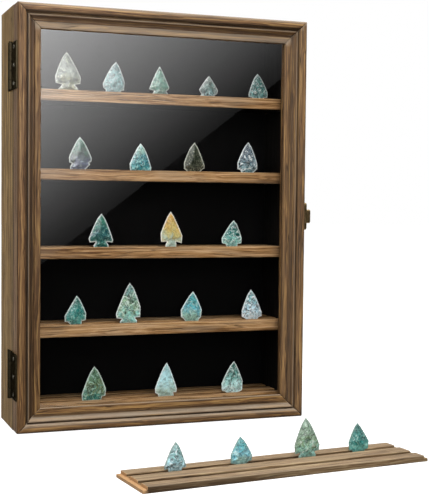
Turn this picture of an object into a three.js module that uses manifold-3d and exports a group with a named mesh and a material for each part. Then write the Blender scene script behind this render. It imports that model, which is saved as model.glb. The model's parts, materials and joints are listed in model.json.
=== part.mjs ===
// A wooden wall or table cabinet that shows arrowheads: a dadoed case, a glazed door on two
// surface hinges, a cam lock, five grooved shelves, a thinner loose shelf that lies in front
// of the case, and the arrowheads that stand in the grooves.
// Millimetres, +Z up. The origin is the centre of the case's underside, X runs along the
// front, and the door faces -Y.

import * as THREE from "three";
import { mergeVertices } from "three/addons/utils/BufferGeometryUtils.js";
import Module from "manifold-3d";

const wasm = await Module();
wasm.setup();

// Case
const caseWidth = 350;
const caseHeight = 480;
const caseDepth = 79;
const sideThickness = 13;
const deckThickness = 13;
const backThickness = 4;
const backRecess = 2;
const backRabbet = 6;
const liningThickness = 1.4;
const glueLine = 0.2;

// Shelves
const shelfCount = 5;
const shelfThickness = 13;
const looseShelfThickness = 6.5;
const shelfPull = 4;
const shelfStandOff = 0.5;
const topCompartment = 78.6;
const shoulderGap = 0.8;
const tongueLength = 4.5;
const tongueThickness = 3.4;
const tongueClearance = 0.3;
const grooveWidth = 9;
const grooveDepth = 2.5;
const outerRib = 15;
const looseShelfLength = 313;
const looseShelfX = 38;
const looseShelfAhead = 234;
const looseShelfTurn = THREE.MathUtils.degToRad(5.5);

// Door frame: widths across the moulding, counted from its outer edge, and depths behind its front
const doorThickness = 26.5;
const doorGap = 0.5;
const doorReveal = 0.5;
const beadWidth = 10;
const beadHeight = 3;
const quirkWidth = 2;
const quirkDepth = 5;
const filletWidth = 1.6;
const filletDepth = 2.6;
const coveWidth = 5.8;
const coveDepth = 7.4;
const lipWidth = 7.6;
const lipFace = 6;
const lipThickness = 4.5;
const arris = 0.6;
const glassRabbet = 6.5;
const glassThickness = 3;
const retainerWidth = 6;
const retainerDepth = 7;
const retainerRound = 2;

// Hinges
const hingeHeight = 52;
const hingeFromBottom = 63.5;
const hingeFromTop = 69;
const leafWidth = 25.6;
const leafThickness = 1.6;
const knuckleRadius = 3;
const knuckleCount = 5;
const knuckleGap = 0.3;
const pinRadius = 1.3;
const pinClearance = 0.2;
const pinHeadRadius = 2.1;
const pinHeadHeight = 1.2;

// Lock: it stands above the third shelf, on the door's right edge
const lockShelf = 3;
const lockRise = 37.7;
const plateWidth = 19;
const plateHeight = 33;
const plateCorner = 3;
const plateThickness = 3.5;
const plateBevel = 0.6;
const barrelHeadWidth = 15;
const barrelHeadTall = 16.6;
const barrelHeadCorner = 2.4;
const barrelHeadBevel = 1;
const barrelHeadHeight = 5.8;
const barrelRadius = 7;
const plugRadius = 4.9;
const turningGap = 0.3;
const keywayWidth = 1.6;
const keywayHeight = 6.4;
const keywayDepth = 3;
const tenonSize = 5;
const camThickness = 1.8;
const camArm = 25;
const camHubRadius = 5.2;
const camHalfWidth = 2.8;
const camToothWidth = 3.3;
const camToothDrop = 3.2;
const camPocketGap = 0.5;
const camClearance = 0.4;
const camScrewHeadRadius = 4.2;
const camScrewHeadHeight = 1.2;
const camScrewRadius = 1.3;
const camScrewLength = 7;
const keeperPlate = 1.5;
const keeperBorder = 1.5;
const keeperTail = 7;
const keeperBarDepth = 4;
const keeperBarHeight = 3.3;

// Wall hangers: keyhole plates let over a cut-out in the back
const hangerWidth = 16;
const hangerHeight = 44;
const hangerThickness = 1.5;
const hangerFromSide = 75;
const hangerFromTop = 52;
const keyholeRadius = 4.2;
const keyholeSlot = 2.2;
const keyholeRise = 12;
const keyholeMargin = 1.5;

// Arrowheads
const arrowWidth = 28;
const arrowHeight = 40;
const arrowThickness = 6;
const arrowEdge = 0.9;
const arrowEndMargin = 14;
const arrowSteps = 5;
const baseHollow = 0.02;

const segments = 24;
const cornerSteps = 3;

// How far a cutting block runs past the face that it cuts
const overcut = 1;

const frontY = -caseDepth / 2;
const backY = caseDepth / 2;
const innerHalf = caseWidth / 2 - sideThickness;
const clearTop = caseHeight - deckThickness;
const rabbetY = backY - backRecess - backThickness - glueLine;
const liningFront = rabbetY - liningThickness;
const shelfFront = frontY + shelfPull - doorGap + shelfStandOff;
const shelfDepth = liningFront - tongueClearance - shelfFront;
const shelfHalf = innerHalf - shoulderGap;
const dadoDepth = tongueLength - shoulderGap + glueLine + tongueClearance;
const lowestShelf = deckThickness + tongueClearance;
const shelfPitch = (clearTop - topCompartment - shelfThickness - lowestShelf) / (shelfCount - 1);

const wood = new THREE.MeshStandardMaterial({ color: 0x7b5f44, roughness: 0.6 });
const shelfWood = new THREE.MeshStandardMaterial({ color: 0xa98a65, roughness: 0.6 });
const panelWood = new THREE.MeshStandardMaterial({ color: 0x8d7355, roughness: 0.7 });
const felt = new THREE.MeshStandardMaterial({ color: 0x0a0a0a, roughness: 1 });
const glass = new THREE.MeshStandardMaterial({
  color: 0xe8f0ee,
  roughness: 0.05,
  transparent: true,
  opacity: 0.2,
});
const bronze = new THREE.MeshStandardMaterial({ color: 0x2a2418, roughness: 0.45, metalness: 0.8 });
const brass = new THREE.MeshStandardMaterial({ color: 0x8f7a4a, roughness: 0.4, metalness: 1 });
const steel = new THREE.MeshStandardMaterial({ color: 0xb5b5b0, roughness: 0.4, metalness: 1 });

function solidFrom(geometry) {
  const bare = geometry.index ? geometry.toNonIndexed() : geometry.clone();
  bare.deleteAttribute("normal");
  bare.deleteAttribute("uv");
  const merged = mergeVertices(bare, 1e-4);
  return new wasm.Manifold(
    new wasm.Mesh({
      numProp: 3,
      vertProperties: merged.attributes.position.array,
      triVerts: new Uint32Array(merged.index.array),
    }),
  );
}

function geometryFrom(solid) {
  const mesh = solid.getMesh();
  const geometry = new THREE.BufferGeometry();
  geometry.setAttribute("position", new THREE.BufferAttribute(mesh.vertProperties, 3));
  geometry.setIndex(new THREE.BufferAttribute(mesh.triVerts, 1));
  geometry.computeVertexNormals();
  return geometry;
}

function combine(base, joined, removed = []) {
  let solid = solidFrom(base);
  for (const geometry of joined) solid = solid.add(solidFrom(geometry));
  for (const geometry of removed) solid = solid.subtract(solidFrom(geometry));
  return geometryFrom(solid);
}

function block(x0, x1, y0, y1, z0, z1) {
  const geometry = new THREE.BoxGeometry(x1 - x0, y1 - y0, z1 - z0);
  return geometry.translate((x0 + x1) / 2, (y0 + y1) / 2, (z0 + z1) / 2);
}

function rod(radius, x0, x1) {
  const geometry = new THREE.CylinderGeometry(radius, radius, x1 - x0, segments);
  return geometry.rotateZ(Math.PI / 2).translate((x0 + x1) / 2, 0, 0);
}

function upright(radius, z0, z1) {
  const geometry = new THREE.CylinderGeometry(radius, radius, z1 - z0, segments);
  return geometry.rotateX(Math.PI / 2).translate(0, 0, (z0 + z1) / 2);
}

function named(name, geometry, material) {
  const mesh = new THREE.Mesh(geometry, material);
  mesh.name = name;
  return mesh;
}

const shelfBase = (level) => lowestShelf + (shelfCount - level) * shelfPitch;
const lockHeight = shelfBase(lockShelf) + shelfThickness + lockRise;

// A side board runs the full height, with a dado for each shelf's tongue and a rabbet for the back.
function sideBoard(hand) {
  const inner = hand * innerHalf;
  const outer = (hand * caseWidth) / 2;
  const board = block(Math.min(inner, outer), Math.max(inner, outer), frontY, backY, 0, caseHeight);
  const cuts = [];
  for (let level = 1; level <= shelfCount; level += 1) {
    const low = shelfBase(level) - tongueClearance;
    const high = shelfBase(level) + tongueThickness + tongueClearance;
    const reach = hand * (innerHalf + dadoDepth);
    const start = hand * (innerHalf - overcut);
    const sides = [Math.min(start, reach), Math.max(start, reach)];
    cuts.push(block(...sides, frontY - overcut, rabbetY, low, high));
  }
  const rabbetEdge = hand * (innerHalf + backRabbet);
  const rabbetStart = hand * (innerHalf - overcut);
  cuts.push(
    block(
      Math.min(rabbetStart, rabbetEdge),
      Math.max(rabbetStart, rabbetEdge),
      rabbetY,
      backY + overcut,
      deckThickness - backRabbet,
      clearTop + backRabbet,
    ),
  );
  return combine(board, [], cuts);
}

// The top and bottom boards sit between the sides and carry the same rabbet.
function deck(z0, z1, rabbetFrom, rabbetTo) {
  const half = innerHalf - glueLine;
  const board = block(-half, half, frontY, backY, z0, z1);
  const reach = half + overcut;
  return combine(board, [], [block(-reach, reach, rabbetY, backY + overcut, rabbetFrom, rabbetTo)]);
}

function backBoard() {
  const half = innerHalf + backRabbet - glueLine;
  const y0 = rabbetY + glueLine;
  const low = deckThickness - backRabbet + glueLine;
  const high = clearTop + backRabbet - glueLine;
  const holes = [];
  for (const hand of [-1, 1]) {
    const x = hand * (caseWidth / 2 - hangerFromSide);
    const z = caseHeight - hangerFromTop;
    const width = keyholeRadius + keyholeMargin;
    holes.push(
      block(x - width, x + width, y0 - overcut, backY, z - keyholeRise, z + keyholeRise + keyholeSlot),
    );
  }
  return combine(block(-half, half, y0, y0 + backThickness, low, high), [], holes);
}

function backLining() {
  const half = innerHalf - glueLine;
  return block(-half, half, liningFront, rabbetY, deckThickness + glueLine, clearTop - glueLine);
}

// A shelf is extruded along X from its section: two grooves between three ribs.
// Each end has a shoulder and, along the underside, a tongue.
function shelf(thickness, half) {
  const farRib = shelfDepth - outerRib;
  const section = new THREE.Shape();
  section.moveTo(0, 0);
  section.lineTo(shelfDepth, 0);
  section.lineTo(shelfDepth, thickness);
  section.lineTo(farRib, thickness);
  section.lineTo(farRib, thickness - grooveDepth);
  section.lineTo(farRib - grooveWidth, thickness - grooveDepth);
  section.lineTo(farRib - grooveWidth, thickness);
  section.lineTo(outerRib + grooveWidth, thickness);
  section.lineTo(outerRib + grooveWidth, thickness - grooveDepth);
  section.lineTo(outerRib, thickness - grooveDepth);
  section.lineTo(outerRib, thickness);
  section.lineTo(0, thickness);
  const length = 2 * half;
  const body = new THREE.ExtrudeGeometry(section, { depth: length, bevelEnabled: false });
  body.rotateY(Math.PI / 2).rotateX(Math.PI / 2).translate(-half, 0, 0);
  const reach = half + tongueLength;
  return combine(body, [block(-reach, reach, 0, shelfDepth, 0, tongueThickness)]);
}

// Points across the moulding, outer edge to inner edge, as (width, depth behind the front).
function mouldingProfile() {
  const points = [];
  const beadSteps = 8;
  for (let i = 0; i <= beadSteps; i += 1) {
    const turn = (Math.PI * i) / beadSteps;
    points.push([
      (beadWidth / 2) * (1 - Math.cos(turn)),
      beadHeight * (1 - Math.sin(turn)),
    ]);
  }
  const quirkEnd = beadWidth + quirkWidth;
  const filletEnd = quirkEnd + filletWidth;
  const coveEnd = filletEnd + coveWidth;
  const lipEnd = coveEnd + lipWidth;
  points.push([beadWidth + arris / 2, quirkDepth]);
  points.push([quirkEnd - arris / 2, quirkDepth]);
  points.push([quirkEnd, filletDepth]);
  points.push([filletEnd, filletDepth]);
  const coveSteps = 5;
  for (let i = 0; i <= coveSteps; i += 1) {
    const turn = ((Math.PI / 2) * i) / coveSteps;
    points.push([
      coveEnd - (coveWidth - arris / 2) * Math.cos(turn),
      filletDepth + arris + (coveDepth - filletDepth - arris) * Math.sin(turn),
    ]);
  }
  points.push([coveEnd + arris, lipFace]);
  points.push([lipEnd - arris, lipFace]);
  points.push([lipEnd, lipFace + arris]);
  points.push([lipEnd, lipFace + lipThickness]);
  points.push([lipEnd - glassRabbet, lipFace + lipThickness]);
  points.push([lipEnd - glassRabbet, doorThickness]);
  points.push([0, doorThickness]);
  return points;
}

const mouldingWidth = beadWidth + quirkWidth + filletWidth + coveWidth + lipWidth;

// A bar of a mitred frame: the profile runs along a side of the frame whose full length is given,
// and each point's ends are drawn in by its own distance from the outer edge.
// The bar lies along X with the outer edge at the bottom, its front towards -Y.
function mitredBar(profile, length, mitreGap) {
  const count = profile.length;
  const contour = profile.map(([across, depth]) => new THREE.Vector2(across, depth));
  const flip = THREE.ShapeUtils.isClockWise(contour) ? -1 : 1;
  const caps = THREE.ShapeUtils.triangulateShape(contour, []);
  const positions = [];
  for (const end of [0, 1]) {
    for (const [across, depth] of profile) {
      const drawnIn = across + mitreGap;
      const along = end === 0 ? drawnIn - length / 2 : length / 2 - drawnIn;
      positions.push(along, depth, across);
    }
  }
  const index = [];
  const triangle = (a, b, c) => {
    if (flip < 0) index.push(a, b, c);
    else index.push(a, c, b);
  };
  for (let i = 0; i < count; i += 1) {
    const next = (i + 1) % count;
    triangle(i, next, count + i);
    triangle(next, count + next, count + i);
  }
  for (const [a, b, c] of caps) {
    triangle(a, c, b);
    triangle(count + a, count + b, count + c);
  }
  const geometry = new THREE.BufferGeometry();
  geometry.setAttribute("position", new THREE.Float32BufferAttribute(positions, 3));
  geometry.setIndex(index);
  geometry.computeVertexNormals();
  return geometry;
}

// The four bars of a frame, each turned about the frame's centre from the same profile.
function frameBars(profile, width, height, mitreGap) {
  const bar = (length, offset, turn) =>
    mitredBar(profile, length, mitreGap)
      .translate(0, 0, -offset / 2)
      .rotateY(turn);
  return {
    bottom: bar(width, height, 0),
    top: bar(width, height, Math.PI),
    left: bar(height, width, Math.PI / 2),
    right: bar(height, width, -Math.PI / 2),
  };
}

function retainerProfile() {
  const start = mouldingWidth - glassRabbet + glueLine;
  const front = lipFace + lipThickness + glassThickness + 2 * glueLine;
  return [
    [start, front],
    [start + retainerWidth, front],
    [start + retainerWidth, front + retainerDepth - 1.5 * retainerRound],
    [start + retainerWidth - retainerRound / 2, front + retainerDepth - retainerRound],
    [start + retainerRound, front + retainerDepth],
    [start, front + retainerDepth],
  ];
}

// Knuckles are numbered from the bottom. The case leaf has the odd ones, the door leaf the others.
function hingeLeaf(hand) {
  const pitch = hingeHeight / knuckleCount;
  const clear = knuckleRadius + knuckleGap;
  const x0 = knuckleRadius - leafThickness;
  const edge = [hand * clear, hand * leafWidth];
  const half = hingeHeight / 2;
  const plate = block(x0, knuckleRadius, Math.min(...edge), Math.max(...edge), -half, half);
  const knuckles = [];
  for (let i = 0; i < knuckleCount; i += 1) {
    const forCase = i % 2 === 0;
    if (forCase !== hand > 0) continue;
    const low = -half + i * pitch + (i === 0 ? 0 : knuckleGap / 2);
    const high = -half + (i + 1) * pitch - (i === knuckleCount - 1 ? 0 : knuckleGap / 2);
    const reach = [0, hand * (clear + overcut)];
    knuckles.push(upright(knuckleRadius, low, high));
    knuckles.push(block(x0, knuckleRadius, Math.min(...reach), Math.max(...reach), low, high));
  }
  return combine(plate, knuckles, [upright(pinRadius + pinClearance, -half - overcut, half + overcut)]);
}

function hingePin() {
  const half = hingeHeight / 2;
  const seat = half + glueLine;
  return combine(
    upright(pinRadius, -half, seat + pinHeadHeight),
    [upright(pinHeadRadius, seat, seat + pinHeadHeight)],
  );
}

// Lock pieces lie along X, with x = 0 on the door's outer edge face and the key side at +X.
// The cam turns just clear of the keeper's plate, which is fixed to the side board's inner face.
const camOuter = -(sideThickness + glueLine + keeperPlate + camClearance);
const camFace = camOuter - camThickness;
const barrelInner = camOuter + camPocketGap + camClearance;

function lathedAlongX(points) {
  const profile = points.map(([radius, x]) => new THREE.Vector2(radius, x));
  return new THREE.LatheGeometry(profile, segments).rotateZ(-Math.PI / 2);
}

// An upright plate facing +X with rounded corners, bevelled arrises and a round hole.
function borePlate(width, height, corner, bevel, x0, x1, bore) {
  const radius = corner - bevel;
  const outline = [];
  for (const [quarter, [x, y]] of [[1, 1], [-1, 1], [-1, -1], [1, -1]].entries()) {
    for (let step = 0; step <= cornerSteps; step += 1) {
      const angle = ((quarter + step / cornerSteps) * Math.PI) / 2;
      outline.push(
        new THREE.Vector2(
          x * (width / 2 - corner) + radius * Math.cos(angle),
          y * (height / 2 - corner) + radius * Math.sin(angle),
        ),
      );
    }
  }
  const shape = new THREE.Shape(outline);
  const hole = new THREE.Path();
  hole.absarc(0, 0, bore + bevel, 0, 2 * Math.PI, true);
  shape.holes.push(hole);
  const plate = new THREE.ExtrudeGeometry(shape, {
    depth: x1 - x0 - 2 * bevel,
    bevelThickness: bevel,
    bevelSize: bevel,
    bevelSegments: 1,
    curveSegments: segments / 2,
  });
  plate.translate(0, 0, x0 + bevel);
  return plate.rotateX(Math.PI / 2).rotateZ(Math.PI / 2);
}

function escutcheon() {
  const bore = barrelRadius + turningGap;
  return borePlate(
    plateWidth,
    plateHeight,
    plateCorner,
    plateBevel,
    glueLine,
    glueLine + plateThickness,
    bore,
  );
}

function barrel() {
  const seat = plateThickness + 2 * glueLine;
  const top = seat + barrelHeadHeight;
  const bore = plugRadius + turningGap;
  const head = borePlate(
    barrelHeadWidth,
    barrelHeadTall,
    barrelHeadCorner,
    barrelHeadBevel,
    seat,
    top,
    bore,
  );
  const sleeve = lathedAlongX([
    [bore, barrelInner],
    [barrelRadius, barrelInner],
    [barrelRadius, seat + barrelHeadBevel],
    [bore, seat + barrelHeadBevel],
    [bore, barrelInner],
  ]);
  return combine(sleeve, [head]);
}

function plug() {
  const top = plateThickness + 2 * glueLine + barrelHeadHeight;
  const shank = rod(plugRadius, camOuter + glueLine, top);
  const tenon = tenonSize / 2;
  const square = block(camFace + glueLine, camOuter + overcut, -tenon, tenon, -tenon, tenon);
  const screwHole = rod(
    camScrewRadius + glueLine,
    camFace - overcut,
    camFace + camScrewLength + camClearance,
  );
  const keyway = block(
    top - keywayDepth,
    top + overcut,
    -keywayWidth / 2,
    keywayWidth / 2,
    -keywayHeight / 2,
    keywayHeight / 2,
  );
  return combine(shank, [square], [keyway, screwHole]);
}

// The screw that holds the cam on the plug's square end.
function camScrew() {
  const seat = camFace - glueLine;
  return combine(
    rod(camScrewRadius, seat - camScrewHeadHeight, camFace + camScrewLength),
    [rod(camScrewHeadRadius, seat - camScrewHeadHeight, seat)],
  );
}

// The cam stands up at rest. Its tooth points to the case and drops behind the keeper's bar
// when the key turns the cam down towards the back.
function cam() {
  const arm = block(camFace, camOuter, -camHalfWidth, camHalfWidth, 0, camArm);
  const round = rod(camHubRadius, camFace, camOuter);
  const tooth = block(
    camFace,
    camOuter,
    0,
    camHalfWidth + camToothDrop,
    camArm - camToothWidth,
    camArm,
  );
  const hole = tenonSize / 2 + glueLine;
  const socket = block(camFace - overcut, camOuter + overcut, -hole, hole, -hole, hole);
  return combine(arm, [round, tooth], [socket]);
}

// The lock's axis in the door's thickness and, from it, where the cam's pocket and keeper lie.
const lockY = frontY - doorGap - doorThickness / 2;
const camReach = Math.hypot(camArm, camHalfWidth + camToothDrop);
const camPocketLow = camHubRadius + camPocketGap;

function lockMortise() {
  const bore = rod(barrelRadius + glueLine, camOuter, caseWidth);
  const screwWell = rod(
    camScrewHeadRadius + camPocketGap,
    camFace - glueLine - camScrewHeadHeight - camPocketGap,
    camOuter,
  );
  const pocket = block(
    camFace - camPocketGap,
    camOuter + camPocketGap,
    -camPocketLow,
    doorThickness,
    -camPocketLow,
    camReach + camPocketGap,
  );
  return [bore, screwWell, pocket];
}

// The keeper: a plate on the right side board's inner face with a bar that the tooth drops behind.
// It is placed from the lock's axis, with x = 0 on the board's inner face.
function keeper() {
  const barBack = camArm - camToothWidth - 2 * camPocketGap - camClearance;
  const barTop = -camHalfWidth - camClearance;
  const barFront = barBack - keeperBarDepth;
  const reach = -camFace - sideThickness + camClearance;
  const plate = block(
    -glueLine - keeperPlate,
    -glueLine,
    barFront - keeperBorder,
    barBack + keeperTail,
    barTop - keeperBarHeight - keeperTail,
    -barTop + keeperBorder,
  );
  const bar = block(
    -reach,
    -glueLine - keeperPlate / 2,
    barFront,
    barBack,
    barTop - keeperBarHeight,
    barTop,
  );
  return combine(plate, [bar]);
}

function hanger() {
  const plate = block(
    -hangerWidth / 2,
    hangerWidth / 2,
    0,
    hangerThickness,
    -hangerHeight / 2,
    hangerHeight / 2,
  );
  const across = (radius, z) =>
    new THREE.CylinderGeometry(radius, radius, 4 * hangerThickness, segments).translate(0, 0, z);
  const entry = keyholeRadius - keyholeRise + overcut;
  const end = keyholeRise / 2 - keyholeSlot;
  const slot = block(-keyholeSlot, keyholeSlot, -overcut, hangerThickness + overcut, entry, end);
  return combine(plate, [], [across(keyholeRadius, entry), slot, across(keyholeSlot, end)]);
}

// How one edge of an arrowhead runs, in half widths and heights: where its curve from the tip ends,
// the barb's lowest point, the notch behind it, the base's widest place and the base's corner.
// bulge: below 1 the curve swells out.
function edge(bulge, widest, barb, neck, ear, foot = ear[0]) {
  return { bulge, widest, turns: [barb, neck, ear, [foot, 0]] };
}

function arrowEdgePoints({ bulge, widest, turns }, hand, lean) {
  const points = [];
  for (let i = 1; i <= arrowSteps; i += 1) {
    const fall = i / arrowSteps;
    const out = fall ** bulge;
    points.push([lean * (1 - out) + hand * out, 1 - (1 - widest) * fall]);
  }
  for (const [x, z] of turns) points.push([hand * x, z]);
  return points;
}

// lean: how far the tip stands off the middle, in half widths.
function arrowOutline({ wide, tall, lean, left, right }) {
  const outline = [
    [lean, 1],
    ...arrowEdgePoints(right, 1, lean),
    [0, baseHollow],
    ...arrowEdgePoints(left, -1, lean).reverse(),
  ];
  const halfWidth = (wide * arrowWidth) / 2;
  return outline.map(([x, z]) => [x * halfWidth, z * tall * arrowHeight]);
}

// The height of a point's thickest place, as a share of its own height.
const middleHeight = 0.33;

// The rings of a knapped face from its edge inward: how far out each lies and how much it swells.
const ringReach = [1, 0.8, 0.44];
const ringSwell = [0, 0.56, 0.84];
const flakeDepth = 0.16;

// A knapped point: a thin edge all round, an uneven inner ring and a thick middle on both faces.
function arrowhead(form) {
  const outline = arrowOutline(form);
  const count = outline.length;
  const centre = middleHeight * form.tall * arrowHeight;
  const rings = ringReach.length;
  const positions = [];
  for (const face of [-1, 1]) {
    for (let ring = 0; ring < rings; ring += 1) {
      const share = ringReach[ring];
      outline.forEach(([x, z], i) => {
        const flake = 1 + flakeDepth * Math.sin(2.4 * i + 1.7 * ring + face);
        const depth = arrowEdge / 2 + ((arrowThickness - arrowEdge) / 2) * ringSwell[ring] * flake;
        positions.push(x * share, face * depth, centre + (z - centre) * share);
      });
    }
    positions.push(0, (face * arrowThickness) / 2, centre);
  }
  const perFace = rings * count + 1;
  const index = [];
  for (const face of [0, 1]) {
    const start = face * perFace;
    const triangle = (a, b, c) => {
      if (face === 0) index.push(start + a, start + c, start + b);
      else index.push(start + a, start + b, start + c);
    };
    for (let i = 0; i < count; i += 1) {
      const next = (i + 1) % count;
      for (let ring = 0; ring + 1 < rings; ring += 1) {
        const outer = ring * count;
        const inner = outer + count;
        triangle(outer + i, outer + next, inner + i);
        triangle(outer + next, inner + next, inner + i);
      }
      const last = (rings - 1) * count;
      triangle(last + i, last + next, perFace - 1);
    }
  }
  for (let i = 0; i < count; i += 1) {
    const next = (i + 1) % count;
    index.push(i, next, perFace + i);
    index.push(next, perFace + next, perFace + i);
  }
  const geometry = new THREE.BufferGeometry();
  geometry.setAttribute("position", new THREE.Float32BufferAttribute(positions, 3));
  geometry.setIndex(index);
  geometry.computeVertexNormals();
  return geometry;
}

// Each shelf's arrowheads from left to right.
// at: share of the way from the shelf's middle to its end. wide and tall: its size, as shares
// of the usual arrowhead's.
const rows = [
  [
    {
      at: -0.73,
      wide: 1.09,
      tall: 1.19,
      lean: -0.12,
      left: edge(0.68, 0.4, [0.95, 0.235], [0.46, 0.205], [0.74, 0.1]),
      right: edge(0.82, 0.4, [0.97, 0.235], [0.53, 0.21], [0.79, 0.12]),
    },
    {
      at: -0.357,
      wide: 0.96,
      tall: 0.98,
      lean: 0.19,
      left: edge(0.72, 0.34, [0.96, 0.215], [0.74, 0.155], [0.69, 0.07]),
      right: edge(0.68, 0.4, [0.94, 0.155], [0.66, 0.13], [0.62, 0.06]),
    },
    {
      at: 0.025,
      wide: 0.91,
      tall: 0.92,
      lean: 0.04,
      left: edge(0.8, 0.26, [0.95, 0.235], [0.53, 0.2], [0.65, 0.11]),
      right: edge(0.9, 0.32, [0.94, 0.265], [0.7, 0.19], [0.9, 0.11]),
    },
    {
      at: 0.452,
      wide: 0.87,
      tall: 0.71,
      lean: 0.03,
      left: edge(0.82, 0.4, [0.87, 0.265], [0.72, 0.215], [0.9, 0.14]),
      right: edge(0.88, 0.4, [0.93, 0.245], [0.62, 0.165], [0.75, 0.09]),
    },
    {
      at: 0.896,
      wide: 0.915,
      tall: 0.85,
      lean: -0.09,
      left: edge(0.64, 0.26, [0.97, 0.15], [0.6, 0.13], [0.6, 0.06]),
      right: edge(0.74, 0.34, [0.98, 0.155], [0.6, 0.13], [0.6, 0.06]),
    },
  ],
  [
    {
      at: -0.628,
      wide: 0.98,
      tall: 1.01,
      lean: -0.04,
      left: edge(0.74, 0.4, [0.95, 0.255], [0.72, 0.225], [0.88, 0.15]),
      right: edge(0.72, 0.4, [0.98, 0.29], [0.77, 0.255], [0.88, 0.21], 0.3),
    },
    {
      at: -0.129,
      wide: 0.96,
      tall: 0.87,
      lean: 0,
      left: edge(0.78, 0.3, [0.98, 0.09], [0.9, 0.06], [0.84, 0.02]),
      right: edge(0.64, 0.18, [0.98, 0.09], [0.9, 0.06], [0.84, 0.02]),
    },
    {
      at: 0.333,
      wide: 0.955,
      tall: 0.94,
      lean: 0.02,
      left: edge(0.66, 0.34, [0.98, 0.15], [0.85, 0.12], [0.7, 0.06]),
      right: edge(0.76, 0.26, [0.98, 0.175], [0.82, 0.14], [0.6, 0.08]),
    },
    {
      at: 0.806,
      wide: 0.95,
      tall: 1,
      lean: 0.07,
      left: edge(0.72, 0.36, [0.98, 0.16], [0.7, 0.135], [0.62, 0.07]),
      right: edge(0.7, 0.32, [0.98, 0.175], [0.84, 0.13], [0.64, 0.07]),
    },
  ],
  [
    {
      at: -0.456,
      wide: 1.07,
      tall: 1.04,
      lean: 0.04,
      left: edge(0.72, 0.28, [0.9, 0.175], [0.42, 0.19], [0.6, 0.09]),
      right: edge(0.72, 0.24, [0.93, 0.17], [0.48, 0.19], [0.63, 0.09]),
    },
    {
      at: 0.14,
      wide: 0.99,
      tall: 1.11,
      lean: -0.09,
      left: edge(0.76, 0.4, [0.95, 0.17], [0.42, 0.18], [0.56, 0.08]),
      right: edge(0.82, 0.34, [0.95, 0.13], [0.42, 0.18], [0.46, 0.07]),
    },
    {
      at: 0.671,
      wide: 0.95,
      tall: 0.85,
      lean: 0.19,
      left: edge(0.8, 0.34, [0.95, 0.165], [0.6, 0.14], [0.5, 0.06]),
      right: edge(0.66, 0.36, [0.98, 0.16], [0.62, 0.14], [0.58, 0.06]),
    },
  ],
  [
    {
      at: -0.662,
      wide: 0.935,
      tall: 0.89,
      lean: 0.11,
      left: edge(0.98, 0.32, [0.97, 0.14], [0.68, 0.12], [0.5, 0.05]),
      right: edge(0.74, 0.4, [0.93, 0.17], [0.6, 0.15], [0.56, 0.05]),
    },
    {
      at: -0.224,
      wide: 1.09,
      tall: 1.24,
      lean: 0.1,
      left: edge(0.84, 0.26, [0.95, 0.145], [0.52, 0.13], [0.68, 0.06]),
      right: edge(0.66, 0.4, [0.97, 0.165], [0.55, 0.15], [0.72, 0.08]),
    },
    {
      at: 0.318,
      wide: 0.97,
      tall: 0.94,
      lean: 0.15,
      left: edge(0.82, 0.4, [0.97, 0.175], [0.78, 0.13], [0.6, 0.06]),
      right: edge(0.78, 0.4, [0.93, 0.16], [0.84, 0.13], [0.7, 0.07]),
    },
    {
      at: 0.86,
      wide: 0.965,
      tall: 0.96,
      lean: -0.1,
      left: edge(0.72, 0.32, [0.98, 0.12], [0.85, 0.1], [0.58, 0.05]),
      right: edge(0.72, 0.26, [0.98, 0.12], [0.72, 0.1], [0.6, 0.05]),
    },
  ],
  [
    {
      at: -0.508,
      wide: 1.06,
      tall: 1.04,
      lean: 0.03,
      left: edge(0.74, 0.2, [0.98, 0.09], [0.96, 0.05], [0.9, 0.02]),
      right: edge(0.7, 0.34, [0.95, 0.14], [0.66, 0.115], [0.62, 0.04]),
    },
    {
      at: 0.102,
      wide: 1,
      tall: 1.06,
      lean: 0.06,
      left: edge(0.78, 0.26, [0.97, 0.13], [0.74, 0.1], [0.68, 0.04]),
      right: edge(0.8, 0.24, [0.97, 0.135], [0.67, 0.12], [0.72, 0.05]),
    },
    {
      at: 0.688,
      wide: 1.005,
      tall: 1.01,
      lean: 0.17,
      left: edge(0.76, 0.32, [0.95, 0.1], [0.68, 0.07], [0.5, 0.03]),
      right: edge(0.8, 0.38, [0.97, 0.1], [0.88, 0.07], [0.6, 0.03]),
    },
  ],
];
const stoneTones = [
  [0xb9c4b0, 0xa5c9cb, 0x8fa48f, 0xa2b2ab, 0x86a5a4],
  [0x8d9f98, 0x5cb3b0, 0x566a5e, 0x7d959a],
  [0x3f7f7c, 0xa88f55, 0x6fa39f],
  [0x4f9a98, 0x8fa596, 0x83b6bb, 0xa9c6cb],
  [0x6f9a8a, 0x9ccbd2, 0x7fb0ab],
];

const looseRow = [
  {
    at: -0.705,
    wide: 0.84,
    tall: 0.735,
    lean: 0.04,
    left: edge(0.72, 0.2, [0.97, 0.1], [0.68, 0.115], [0.6, 0.04]),
    right: edge(0.7, 0.16, [0.95, 0.12], [0.64, 0.11], [0.6, 0.04]),
  },
  {
    at: -0.222,
    wide: 0.86,
    tall: 0.71,
    lean: -0.14,
    left: edge(0.82, 0.38, [0.97, 0.08], [0.7, 0.06], [0.5, 0.03]),
    right: edge(0.72, 0.3, [0.93, 0.12], [0.68, 0.1], [0.45, 0.04]),
  },
  {
    at: 0.285,
    wide: 1.05,
    tall: 1.03,
    lean: -0.13,
    left: edge(0.72, 0.34, [0.97, 0.12], [0.55, 0.13], [0.68, 0.05]),
    right: edge(0.74, 0.3, [0.95, 0.16], [0.6, 0.14], [0.7, 0.07]),
  },
  {
    at: 0.706,
    wide: 0.88,
    tall: 0.77,
    lean: -0.15,
    left: edge(0.7, 0.38, [0.97, 0.1], [0.68, 0.08], [0.6, 0.03]),
    right: edge(0.85, 0.36, [0.95, 0.1], [0.68, 0.08], [0.58, 0.03]),
  },
];
const looseTones = [0xa9c6cb, 0x83b6bb, 0x8fa596, 0x4f9a98];

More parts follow.
